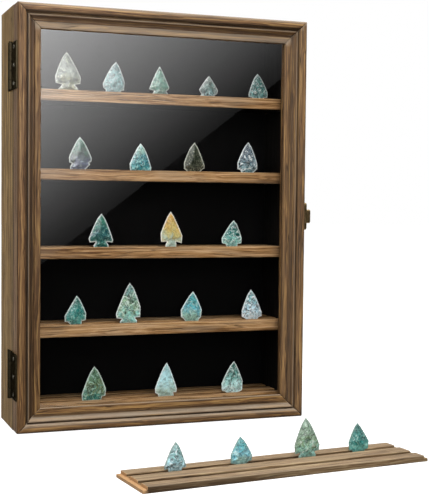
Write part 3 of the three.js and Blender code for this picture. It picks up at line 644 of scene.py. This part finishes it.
# Shelves. The walls of their grooves, the cuts for the darkening and where the painted black shade begins
# are depths in millimetres, and the top of a rib between two grooves is kept free of the grooves' painted
# shade.
SHELVES = 5
SHELF_GROOVE_WALLS = (-20.5, -11.5, 7.6, 16.6)
SHELF_DARK_CUTS = (-34, -32.5)
UNDER_FROM = -33
GROOVE_DEEP = 2.5
GROOVE_SHADE = 0.1
CORNER_SHADE = 0.4
CORNER_WIDE = 0.8
RIB_CLEAR = 0.5
# The loose shelf, in millimetres in its own frame, and how it is turned and where it lies
LOOSE_GROOVE_WALLS = (-18.55, -9.55, 9.55, 18.55)
LOOSE_TOP = 6.5
LOOSE_HALF_DEEP = 33.5
LOOSE_HALF_WIDE = 156.5
LOOSE_RIB_END = 152.4
LOOSE_DUST = 0.4
LOOSE_FRONT_SHADE = 0.8
LOOSE_FRONT_FADE = 0.45
LOOSE_TURN = math.radians(5.5)
LOOSE_CENTRE = Vector((38 * MM, -300.5 * MM, 0))


def shelf_under_shade(point, normal):
    """Painted black shade on a shelf's underside, a few millimetres behind its front edge."""
    return 1.0 if normal.z < -FACING and point.y > UNDER_FROM else 0.0


def groove_shade(walls, top):
    """Painted shade down in a shelf's two grooves, darkest in their corners."""
    def stain(point, normal):
        beside = min(abs(point.y - wall) for wall in walls)
        in_groove = RIB_CLEAR < top - point.z < GROOVE_DEEP + RIB_CLEAR
        on_front_or_back = abs(normal.y) > 0.95 and beside > 1
        if not in_groove or on_front_or_back:
            return 0.0
        return GROOVE_SHADE + CORNER_SHADE * bell(beside, CORNER_WIDE)
    return stain


def loose_ends(point, normal):
    """Bare wood on the loose shelf's sawn left end and tongue. The right end has darkened."""
    turned = Matrix.Rotation(-LOOSE_TURN, 3, "Z") @ normal
    return 1.0 if turned.x < -FACING or point.x < -LOOSE_RIB_END else 0.0


loose_grooves = groove_shade(LOOSE_GROOVE_WALLS, LOOSE_TOP)


def loose_shade(point, normal):
    """Painted shade in the loose shelf's grooves, and down its front, most at its left end."""
    if point.y > -LOOSE_HALF_DEEP + 1.0:
        return loose_grooves(point, normal)
    rightward = (point.x + LOOSE_HALF_WIDE) / (2 * LOOSE_HALF_WIDE)
    return LOOSE_FRONT_SHADE - LOOSE_FRONT_FADE * clamped(rightward)


def loose_dust(point, normal):
    """The loose shelf's top has greyed in the open."""
    return LOOSE_DUST if normal.z > LOOKS_UP and point.z > LOOSE_TOP - 1 else 0.0


for shelf_number in range(1, SHELVES + 1):
    number += 1
    node = f"shelf_{shelf_number}"
    shelf_top = max(vertex.co.z for vertex in nodes[node].data.vertices) / MM
    board_piece(node, shelf_wood, "X", number, inside_shade_at=shelf_under_shade,
                shade_and_stain_at=groove_shade(SHELF_GROOVE_WALLS, shelf_top), dark_cuts=SHELF_DARK_CUTS)
number += 1
board_piece("loose_shelf", loose_wood, "X", number, shade_and_stain_at=loose_shade,
            dust_and_highlight_at=loose_dust, raw_at=loose_ends, turn=LOOSE_TURN, centre=LOOSE_CENTRE)
number += 1
board_piece("back_panel", back_wood, "Z", number)

for node, material in (("back_lining", felt), ("glass_pane", glass)):
    nodes[node].data.materials.clear()
    nodes[node].data.materials.append(material)


# Metal
METAL_WEAR = 0.2 * MM
METAL_SHARP = math.radians(35)
METAL_PIECES = (
    ("dark_bronze", bronze, ("hinge_bottom_case_leaf", "hinge_bottom_door_leaf", "hinge_bottom_pin",
                             "hinge_top_case_leaf", "hinge_top_door_leaf", "hinge_top_pin")),
    ("aged_brass", brass, ("lock_escutcheon", "lock_barrel", "lock_plug", "lock_cam", "lock_cam_screw",
                           "lock_keeper")),
    ("zinc_steel", zinc, ("wall_hanger_left", "wall_hanger_right")),
)

for slot, material, names in METAL_PIECES:
    for node in names:
        mesh = welded(node)
        eased(mesh, METAL_WEAR, METAL_SHARP)
        place_piece(node + "_metal", mesh, body_of[node], material, (node,), smooth=METAL_SHARP)


# A screw's head in shares of its radius: the slot's half width and floor, the seat, and the dome's rings
SLOT_HALF = 0.16
SLOT_FLOOR = 0.18
SCREW_SEAT = -0.02
DOME_RINGS = ((1.0, 0.0), (1.0, 0.25), (0.86, 0.38), (0.5, 0.5))
SCREW_SIDES = 24
HALF_DOME_POINTS = 13
SCREW_RUBBED = 0.6
SCREW_SHARP = math.radians(30)


def slotted_screw(name, place, out, radius, material, body, angle):
    """A round-headed screw: a seat ring and two half domes with the driver slot between them."""
    mesh = bmesh.new()
    side = out.orthogonal().normalized()
    over = out.cross(side)
    turned = Matrix.Rotation(angle, 3, out)

    def at(across, along, height):
        return place + turned @ (side * across * radius + over * along * radius + out * height * radius)

    circle = [2 * math.pi * i / SCREW_SIDES for i in range(SCREW_SIDES)]
    floor_ring = [mesh.verts.new(at(math.cos(t), math.sin(t), SLOT_FLOOR)) for t in circle]
    seat_ring = [mesh.verts.new(at(math.cos(t), math.sin(t), SCREW_SEAT)) for t in circle]
    mesh.faces.new(floor_ring)
    mesh.faces.new(seat_ring[::-1])
    for i in range(SCREW_SIDES):
        j = (i + 1) % SCREW_SIDES
        mesh.faces.new((seat_ring[i], seat_ring[j], floor_ring[j], floor_ring[i]))
    for half in (1, -1):
        layers = []
        for share, height in DOME_RINGS:
            start = math.asin(SLOT_HALF / share)
            angles = np.linspace(start, math.pi - start, HALF_DOME_POINTS)
            layers.append([mesh.verts.new(at(share * math.cos(t), half * share * math.sin(t), height))
                           for t in angles])
        for low, high in zip(layers, layers[1:]):
            for i in range(HALF_DOME_POINTS):
                j = (i + 1) % HALF_DOME_POINTS
                mesh.faces.new((low[i], low[j], high[j], high[i])[::half])
        mesh.faces.new(layers[0][::-half])
        mesh.faces.new(layers[-1][::half])
    bmesh.ops.recalc_face_normals(mesh, faces=mesh.faces)
    arris = mesh.verts.layers.float.new("arris")
    for vertex in mesh.verts:
        vertex[arris] = SCREW_RUBBED
    return place_piece(name, mesh, body, material, smooth=SCREW_SHARP)


# Hinge screws, three to a leaf, each slot left at its own angle. Heights and depths are in millimetres.
HINGE_MIDDLES = {"bottom": 63.5, "top": 411.0}
LEAVES = (("case", -26.5, bronze), ("door", -53.0, screw_steel))
SCREW_SHARES = (-0.39, 0.0, 0.39)
HINGE_TALL = 52.0
SCREW_RADIUS = 2.2 * MM
LEAF_FACE = -176.8 * MM
SCREW_SEED = 11
random.seed(SCREW_SEED)
for where, middle in HINGE_MIDDLES.items():
    for leaf, depth, finish in LEAVES:
        for index, share in enumerate(SCREW_SHARES):
            name = f"hinge_{where}_{leaf}_screw_{index + 1}"
            place = Vector((LEAF_FACE, depth * MM, (middle + share * HINGE_TALL) * MM))
            slotted_screw(name, place, Vector((-1, 0, 0)), SCREW_RADIUS, finish, leaf,
                          random.uniform(0, math.pi))

# The lock plate's two screws, above and below the key's head
LOCK_PLACE = Vector((0.1786, -0.05325, 0.24505))
LOCK_SCREW_OFF = 12.6 * MM
LOCK_SCREW_RADIUS = 2.0 * MM
for index, hand in enumerate((1, -1)):
    place = LOCK_PLACE + Vector((0, 0, hand * LOCK_SCREW_OFF))
    slotted_screw(f"lock_plate_screw_{index + 1}", place, Vector((1, 0, 0)), LOCK_SCREW_RADIUS,
                  brass, "door", random.uniform(0, math.pi))


# Arrowheads, in millimetres
STONE_STEP = 0.95
STONE_HALF = 2.9
RIM_HALF = 0.32
# The plain solid's rim lies this far ahead of its middle plane
RIM_AHEAD = (0.2, 0.7)
# Bites in the edge: how deep they are, and the two waves they follow, in radians a step from a random start
BITE = 0.16
LEAST_BITE = 0.03
BITE_WAVES = (1.9, 0.63)
BITE_START = 6
# How unevenly the inner points and the scars lie, and how far inside the edge the points begin
JITTER = 0.3
INNER_FROM = 0.55
# Scars: how many at least, how far apart round the edge, their half width, and how far in they run
LEAST_SCARS = 8
SCAR_PITCH = 4.4
SCAR_HALF = 2.6
SCAR_REACH = (4.5, 9.0)
# The lens section: where it is full, how round it is, and how much of it the scars leave
LENS_FULL = 0.85
LENS_CURVE = 1.8
SCAR_LEAVES = 0.52
# Broad flakes over the middle
BROAD_COUNT = 9
BROAD_HALF = 6.5
BROAD_RISE = 0.25
# How wide the painted highlight along the thin edge is
EDGE_HIGHLIGHT_WIDE = 0.88
STONE_SEED = 100
STONE_SHARP = math.radians(16)
# How far each stone's pattern is shifted from the one before it, in metres
STONE_SHIFT = (0.37, 0.21, 0.53)


def outline_of(node, turn, centre):
    """The arrowhead's outline in its own plane, in millimetres, and the depth of its middle plane."""
    mesh = joined(node)
    way = Matrix.Rotation(-turn, 3, "Z")
    own = {v: way @ (v.co - centre) / MM for v in mesh.verts}
    middle = (min(p.y for p in own.values()) + max(p.y for p in own.values())) / 2
    rim = {v for v, p in own.items() if RIM_AHEAD[0] < p.y - middle < RIM_AHEAD[1]}
    chain = {v: [e.other_vert(v) for e in v.link_edges if e.other_vert(v) in rim] for v in rim}
    first = min(rim, key=lambda v: (own[v].z, own[v].x))
    loop = [first]
    before, now = None, first
    while True:
        onward = [v for v in chain[now] if v is not before and (v not in loop or v is first)]
        if not onward:
            break
        before, now = now, onward[0]
        if now is first:
            break
        loop.append(now)
    points = [(own[v].x, own[v].z) for v in loop]
    mesh.free()
    return points, middle


def resampled(points, step):
    """Points at even steps round a closed outline, its corners kept."""
    made = []
    for (x0, y0), (x1, y1) in zip(points, points[1:] + points[:1]):
        length = math.hypot(x1 - x0, y1 - y0)
        parts = max(1, round(length / step))
        made += [(x0 + (x1 - x0) * i / parts, y0 + (y1 - y0) * i / parts) for i in range(parts)]
    return np.array(made)


def distances(points, outline):
    """How far each point is from the outline, and how far round it the nearest place lies."""
    a = outline
    b = np.roll(outline, -1, axis=0)
    run = b - a
    length = np.linalg.norm(run, axis=1)
    start = np.concatenate([[0], np.cumsum(length)[:-1]])
    rel = points[:, None, :] - a[None]
    t = np.clip((rel * run[None]).sum(2) / (length ** 2)[None], 0, 1)
    away = np.linalg.norm(rel - t[..., None] * run[None], axis=2)
    nearest = away.argmin(1)
    rows = np.arange(len(points))
    return away[rows, nearest], start[nearest] + t[rows, nearest] * length[nearest], length.sum()


def within(points, outline):
    """True for each point inside the outline."""
    x, y = points[:, 0][:, None], points[:, 1][:, None]
    x0, y0 = outline[:, 0][None], outline[:, 1][None]
    x1, y1 = np.roll(outline, -1, axis=0).T
    crosses = ((y0 > y) != (y1[None] > y)) & (x < (x1[None] - x0) * (y - y0) / (y1[None] - y0 + 1e-12) + x0)
    return crosses.sum(1) % 2 == 1


def knapped_form(node, seed, turn, centre):
    """A flaked arrowhead inside its plain solid: lens-shaped, with long scars run in from its edges."""
    points, middle = outline_of(node, turn, centre)
    draw = np.random.default_rng(seed)
    outline = resampled(points, STONE_STEP)
    # Small bites along the edge, as pressure flaking leaves
    around = np.arange(len(outline))
    quick, slow = [np.sin(around * wave + draw.uniform(0, BITE_START)) for wave in BITE_WAVES]
    bite = BITE + BITE * quick * slow
    inward = np.roll(outline, -1, axis=0) - np.roll(outline, 1, axis=0)
    inward = np.stack([-inward[:, 1], inward[:, 0]], 1)
    inward /= np.linalg.norm(inward, axis=1)[:, None] + 1e-9
    if within(outline + inward * 0.2, outline).mean() <= 0.5:
        inward = -inward
    edge = outline + inward * np.maximum(bite, LEAST_BITE)[:, None]
    low, high = edge.min(0), edge.max(0)
    grid = np.stack(np.meshgrid(np.arange(low[0], high[0], STONE_STEP),
                                np.arange(low[1], high[1], STONE_STEP)), -1).reshape(-1, 2)
    grid += draw.uniform(-JITTER, JITTER, grid.shape)
    grid = grid[within(grid, edge)]
    grid = grid[distances(grid, edge)[0] > INNER_FROM]
    every = np.concatenate([edge, grid])
    ring = [list(range(len(edge)))]
    flat, _, faces, _, _, _ = delaunay_2d_cdt([Vector(p) for p in every], [], ring, 1, 1e-6)
    flat = np.array([tuple(p) for p in flat])
    away, along, whole = distances(flat, edge)
    widest = max(away.max(), 1)
    rise = 1 - (1 - np.clip(away / (LENS_FULL * widest), 0, 1)) ** LENS_CURVE
    mesh = bmesh.new()
    layers = []
    for side in (1, -1):
        # Scars about 4 mm wide that run 5 to 9 mm in from the edge, between ridges
        scars = max(LEAST_SCARS, int(whole / SCAR_PITCH))
        at = (np.arange(scars) + draw.uniform(-JITTER, JITTER, scars)) * whole / scars
        gap = np.abs(along[:, None] - at[None])
        gap = np.minimum(gap, whole - gap)
        reach = draw.uniform(*SCAR_REACH, scars)
        scoop = (gap / SCAR_HALF) ** 2 + (away[:, None] / reach[None]) ** 2
        seeds = np.stack([draw.uniform(low[axis], high[axis], BROAD_COUNT) for axis in (0, 1)], 1)
        broad = (((flat[:, None] - seeds[None]) / BROAD_HALF) ** 2).sum(2)
        shape = np.minimum(scoop.min(1), broad.min(1) + BROAD_RISE)
        left = SCAR_LEAVES + (1 - SCAR_LEAVES) * np.clip(shape, 0, 1)
        height = RIM_HALF + (STONE_HALF - RIM_HALF) * rise * left
        height = np.where(away < 1e-4, RIM_HALF, height)
        layers.append(side * height)
    count = len(flat)
    way = Matrix.Rotation(turn, 3, "Z")
    verts = []
    for depth in layers:
        for (x, z), y in zip(flat, depth):
            verts.append(mesh.verts.new(centre + way @ (Vector((x, middle - y, z)) * MM)))
    edges = {}
    for a, b, c in faces:
        mesh.faces.new((verts[a], verts[b], verts[c]))
        mesh.faces.new((verts[count + a], verts[count + c], verts[count + b]))
        edges.update({(a, b): True, (b, c): True, (c, a): True})
    for a, b in edges:
        if (b, a) not in edges:
            mesh.faces.new((verts[b], verts[a], verts[count + a], verts[count + b]))
    bmesh.ops.recalc_face_normals(mesh, faces=mesh.faces)
    # What the stone's material reads: how near the edge a place lies, for the painted edge highlight, and
    # how far up
    glow = np.exp(-(away / EDGE_HIGHLIGHT_WIDE) ** 2)
    up = (flat[:, 1] - low[1]) / (high[1] - low[1])
    shape = np.stack([glow, up, 0 * up], 1)
    return mesh, np.concatenate([shape, shape]).astype(np.float32)


def knapped_stone(name, top, middle, base, fleck_and_glint, flecked, rim, offset):
    """Knapped glassy stone: cloudy colour in blotches up to 9 mm wide, pale fracture lines, pale flecks
    that also stand in for painted glints, and a painted highlight along the thin edge.
    """
    material, tree = empty_material(name)
    place = add(tree, "TexCoord").outputs["Object"]
    shape = add(tree, "Attribute", {"attribute_name": "stone"}).outputs["Vector"]
    part = add(tree, "SeparateXYZ", None, {"Vector": shape}).outputs
    moved = add(tree, "VectorMath", {"operation": "ADD"}, {0: place, 1: offset}).outputs[0]
    cloud = add(tree, "TexNoise", None,
                {"Vector": moved, "Scale": 0.11 / MM, "Detail": 4.0, "Roughness": 0.6, "Distortion": 0.8})
    level = add(tree, "Math", {"operation": "MULTIPLY_ADD"},
                {0: cloud.outputs["Fac"], 1: 1.1, 2: part[1]}).outputs[0]
    shifted = add(tree, "Math", {"operation": "SUBTRACT"}, {0: level, 1: 0.55}).outputs[0]
    colour = add(tree, "ValToRGB", {"stops": [(0.17, base), (0.44, middle), (0.78, top)]},
                 {"Fac": shifted})
    # Thick and thin places, darker and lighter, some 7 mm across
    mottle = add(tree, "TexNoise", None,
                 {"Vector": moved, "Scale": 0.14 / MM, "Detail": 5.0, "Roughness": 0.62, "Distortion": 2.2})
    depth = add(tree, "MapRange", None,
                {"Value": mottle.outputs["Fac"], "From Min": 0.38, "From Max": 0.62,
                 "To Min": 1.1 - 0.95 * flecked, "To Max": 1.1 + 1.2 * flecked}).outputs["Result"]
    clouded = add(tree, "VectorMath", {"operation": "SCALE"},
                  {0: colour.outputs["Color"], "Scale": depth}).outputs[0]
    # Pale fracture lines, and pale flecks that also stand in for painted glints, as much of them as the
    # stone shows
    speck = add(tree, "TexNoise", None,
                {"Vector": moved, "Scale": 0.13 / MM, "Detail": 4.0, "Roughness": 0.6, "Distortion": 2.0})
    lines = add(tree, "ValToRGB",
                {"stops": [(0.474, 0.0), (0.490, 1.0), (0.505, 0.0), (0.565, 0.0), (0.61, 1.0)]},
                {"Fac": speck.outputs["Fac"]})
    fleck_and_glint_share = add(tree, "Math", {"operation": "MULTIPLY"},
                      {0: lines.outputs["Color"], 1: flecked}).outputs[0]
    light = add(tree, "Mix", {"data_type": "RGBA"},
                {SHARE: fleck_and_glint_share, UNDER: clouded, OVER: linear(fleck_and_glint)})
    # Painted highlight along the thin edge, uneven, as though it let light by
    painted_edge_light = add(tree, "MapRange", None,
                     {"Value": mottle.outputs["Fac"], "From Min": 0.36, "From Max": 0.52, "To Min": 0.65,
                      "To Max": 1.0}).outputs["Result"]
    edge = add(tree, "Math", {"operation": "MULTIPLY"}, {0: part[0], 1: painted_edge_light}).outputs[0]
    edged = add(tree, "Mix", {"data_type": "RGBA"},
                {SHARE: edge, UNDER: light.outputs[MIXED], OVER: linear(rim)})
    bump = add(tree, "Bump", None,
               {"Height": speck.outputs["Fac"], "Distance": 0.6 * MM, "Strength": 0.8})
    finish_material(tree, {"Base Color": edged.outputs[MIXED], "Normal": bump.outputs["Normal"],
                           "Roughness": 0.15, "IOR": 1.54, "Specular IOR Level": 0.35,
                           "Subsurface Weight": 0.1, "Subsurface Scale": 1 * MM,
                           "Subsurface Radius": (1.0, 1.0, 1.0)})
    return material


# Each arrowhead's stone: its top, middle, base and fleck colours, the flecks also standing in for painted
# glints, how flecked it is, and the colour of its painted edge highlight
STONES = {
    "1_1": ("stone_pale", "#46523f", "#49594c", "#78774f", "#d2dcc6", 0.9, "#f4f8ee"),
    "1_2": ("stone_ice", "#517d7e", "#659191", "#7f9fa2", "#deebea", 0.7, "#f0f8f5"),
    "1_3": ("stone_green", "#437968", "#518372", "#628377", "#b6cfbe", 0.6, "#ecf6f0"),
    "1_4": ("stone_pale", "#48645a", "#577773", "#91b1b5", "#d6e1dc", 0.9, "#f8fcfa"),
    "1_5": ("stone_ice", "#2c5f58", "#33645f", "#5f8c8a", "#e4f0ee", 0.9, "#e2efec"),
    "2_1": ("stone_green", "#265c49", "#35413c", "#484f68", "#a0b4ac", 0.45, "#e6f0ea"),
    "2_2": ("stone_teal", "#6a8479", "#0a5d67", "#166e75", "#a2d6d3", 0.8, "#eef8f5"),
    "2_3": ("stone_dark", "#252d23", "#232a20", "#2c2f27", "#c4c6aa", 0.4, "#d6dacc"),
    "2_4": ("stone_grey", "#2c3f4c", "#3a4d57", "#5c7a80", "#e8f0f0", 1.0, "#f6fbfa"),
    "3_1": ("stone_dark", "#326a58", "#17454d", "#1b534d", "#95c4b8", 0.6, "#fafefc"),
    "3_2": ("stone_amber", "#bb9448", "#b4a868", "#9cb2a8", "#dfe2c8", 0.35, "#fffef8"),
    "3_3": ("stone_teal", "#0b4a46", "#1d6761", "#72a8a0", "#edf9f4", 0.9, "#eaf8f2"),
    "4_1": ("stone_teal", "#16564d", "#196a64", "#488782", "#b6dfd3", 0.6, "#f2fcf8"),
    "4_2": ("stone_pale", "#587d78", "#6b8566", "#6ea39c", "#cfe3d7", 0.9, "#fafefc"),
    "4_3": ("stone_ice", "#3c8a8e", "#5295a2", "#799e92", "#cbe4db", 0.6, "#f6fcfa"),
    "4_4": ("stone_ice", "#659597", "#7699a3", "#9cb3bd", "#f3f9fb", 1.0, "#fafefe"),
    "5_1": ("stone_green", "#43644a", "#545f40", "#2b6c64", "#a6cbb8", 0.8, "#e6f4ec"),
    "5_2": ("stone_ice", "#9bc6ca", "#a5cdd1", "#9ab4a9", "#d0e7e2", 0.35, "#fafefc"),
    "5_3": ("stone_teal", "#2f5b52", "#5d918a", "#aacbcc", "#e3f1eb", 0.75, "#f2fbf7"),
    "loose_1": ("stone_ice", "#43756e", "#64898d", "#87a7b0", "#c7dade", 1.0, "#86958f"),
    "loose_2": ("stone_ice", "#398082", "#5090a0", "#779d9a", "#bbd6d1", 0.6, "#76908a"),
    "loose_3": ("stone_green", "#617767", "#5f795b", "#67948c", "#bccec1", 0.7, "#86968a"),
    "loose_4": ("stone_teal", "#0d4a46", "#14625d", "#53948f", "#9ac7ba", 0.5, "#688880"),
}

for index, (label, (slot, *look)) in enumerate(STONES.items()):
    node = "arrowhead_" + label
    shift = tuple(index * step for step in STONE_SHIFT)
    material = knapped_stone("knapped_stone_" + label, *look, shift)
    turn, centre = (LOOSE_TURN, LOOSE_CENTRE) if label.startswith("loose") else (0.0, ORIGIN)
    mesh, shape = knapped_form(node, STONE_SEED + index, turn, centre)
    piece = place_piece(node + "_stone", mesh, body_of[node], material, (node,), smooth=STONE_SHARP)
    piece.data.attributes.new("stone", "FLOAT_VECTOR", "POINT").data.foreach_set("vector", shape.ravel())


# The studio: white floor and surroundings, a big soft lamp above and weaker ones in front and at the left
AMBIENT = 0.3
# The floor: its half size in metres, how much of its light and shade shows through the plain white, how
# bright that white is, and how pale the floor is to what it lights and to the camera
FLOOR_HALF = 10
FLOOR_SHADE = 0.3
FLOOR_WHITE = 1.35
FLOOR_BOUNCE = 0.3
FLOOR_PALE = 0.95
WHITE = linear("#ffffff")


def background_seen(tree):
    """1 where the camera sees the background, also in a mirror or through glass, and 0 for its light."""
    rays = add(tree, "LightPath").outputs
    either = add(tree, "Math", {"operation": "MAXIMUM"},
                 {0: rays["Is Camera Ray"], 1: rays["Is Glossy Ray"]}).outputs[0]
    return add(tree, "Math", {"operation": "MAXIMUM"},
               {0: either, 1: rays["Is Transmission Ray"]}).outputs[0]


def studio_sheet(name, half, finish):
    """A flat square sheet that isn't part of the object, and its material's tree, still empty."""
    mesh = bmesh.new()
    bmesh.ops.create_grid(mesh, x_segments=1, y_segments=1, size=half)
    data = bpy.data.meshes.new(name)
    mesh.to_mesh(data)
    mesh.free()
    material, tree = empty_material(finish)
    data.materials.append(material)
    return in_scene(name, data), tree


world = bpy.data.worlds.new("studio")
bpy.context.scene.world = world
world.use_nodes = True
tree = world.node_tree
tree.nodes.clear()
strength = add(tree, "MapRange", None,
               {"Value": background_seen(tree), "To Min": AMBIENT, "To Max": 1.0}).outputs["Result"]
sky = add(tree, "Background", None, {"Color": WHITE, "Strength": strength})
add(tree, "OutputWorld", None, {"Surface": sky.outputs["Background"]})

floor, tree = studio_sheet("floor", FLOOR_HALF, "white_studio_floor")
straight = add(tree, "LightPath").outputs["Is Camera Ray"]
bounce = add(tree, "MapRange", None,
             {"Value": straight, "To Min": FLOOR_BOUNCE, "To Max": FLOOR_PALE}).outputs["Result"]
lit = add(tree, "BsdfDiffuse", None, {"Color": bounce})
white = add(tree, "Emission", None, {"Color": WHITE, "Strength": FLOOR_WHITE})
shown = add(tree, "Math", {"operation": "MULTIPLY"},
            {0: background_seen(tree), 1: 1 - FLOOR_SHADE}).outputs[0]
both = add(tree, "MixShader", None, {0: shown, 1: lit.outputs["BSDF"], 2: white.outputs["Emission"]})
add(tree, "OutputMaterial", None, {"Surface": both.outputs["Shader"]})

LAMP_AIM = Vector((0, -0.1, 0.2))
# Square lamps: name, side in metres, watts, and place
LAMPS = (
    ("key_lamp", 1.5, 128.0, (0.1, -1.05, 3.1)),
    ("fill_lamp", 2.0, 40.0, (-0.3, -3.2, 0.9)),
    ("side_lamp", 1.6, 25.0, (-2.8, -1.3, 1.3)),
)
for name, size, watts, place in LAMPS:
    lamp = in_scene(name, bpy.data.lights.new(name, "AREA"))
    lamp.data.size = size
    lamp.data.energy = watts
    lamp.location = place
    lamp.rotation_euler = (LAMP_AIM - lamp.location).to_track_quat("-Z", "Y").to_euler()

# A dark studio flag with a soft glowing corner, which only mirrors see: its glow paints the pane's sheen as
# a reflection.
# It stands where the pane's mirror image of the camera looks, and its size is taken at that distance.
FLAG_AWAY = 1.42
FLAG_HALF = 0.5
GLASS_PLANE = -0.0558
# The photograph's focal length and its middle, in pixels
FOCAL = 1109.1
PICTURE_MIDDLE = (214.5, 250)
# The bright corner's straight border, from the upper right of the pane to its left side, in the
# photograph's pixels: a point on it, the way across it, and how far the glow takes to come up
BORDER_POINT = (282, 78)
BORDER_ACROSS = (-0.612, 0.791)
GLOW_REACH = 180
GLOW_CURVE = 1.5
GLOW_MOST = 11.0
GLOW_LEAST = 0.3


def mirrored(direction):
    """A direction as the pane's mirror turns it."""
    return Vector((direction.x, -direction.y, direction.z))


flag, tree = studio_sheet("flag", FLAG_HALF, "sheen_glow_flag")
place = add(tree, "TexCoord").outputs["Object"]
slope = add(tree, "VectorMath", {"operation": "DOT_PRODUCT"},
            {0: place, 1: (*BORDER_ACROSS, 0.0)}).outputs["Value"]
rightward = (BORDER_POINT[0] - PICTURE_MIDDLE[0]) * BORDER_ACROSS[0]
upward = (PICTURE_MIDDLE[1] - BORDER_POINT[1]) * BORDER_ACROSS[1]
border = (rightward + upward) / FOCAL * FLAG_AWAY
deepest = GLOW_REACH / FOCAL * FLAG_AWAY
beyond = add(tree, "MapRange", None,
             {"Value": slope, "From Min": border, "From Max": border + deepest}).outputs["Result"]
glow = add(tree, "Math", {"operation": "POWER"}, {0: beyond, 1: GLOW_CURVE}).outputs[0]
past = add(tree, "Math", {"operation": "GREATER_THAN"}, {0: slope, 1: border}).outputs[0]
power = add(tree, "Math", {"operation": "MULTIPLY_ADD"},
            {0: glow, 1: GLOW_MOST, 2: GLOW_LEAST}).outputs[0]
power = add(tree, "Math", {"operation": "MULTIPLY"}, {0: power, 1: past}).outputs[0]
shine = add(tree, "Emission", None, {"Strength": power})
add(tree, "OutputMaterial", None, {"Surface": shine.outputs["Emission"]})
mirror_place = Vector((CAMERA_PLACE.x, 2 * GLASS_PLANE - CAMERA_PLACE.y, CAMERA_PLACE.z))
flag.matrix_world = standing(mirrored(camera_right), mirrored(camera_up),
                             mirror_place + mirrored(forward) * FLAG_AWAY)
for sight in ("visible_camera", "visible_diffuse", "visible_transmission", "visible_volume_scatter",
              "visible_shadow"):
    setattr(flag, sight, False)
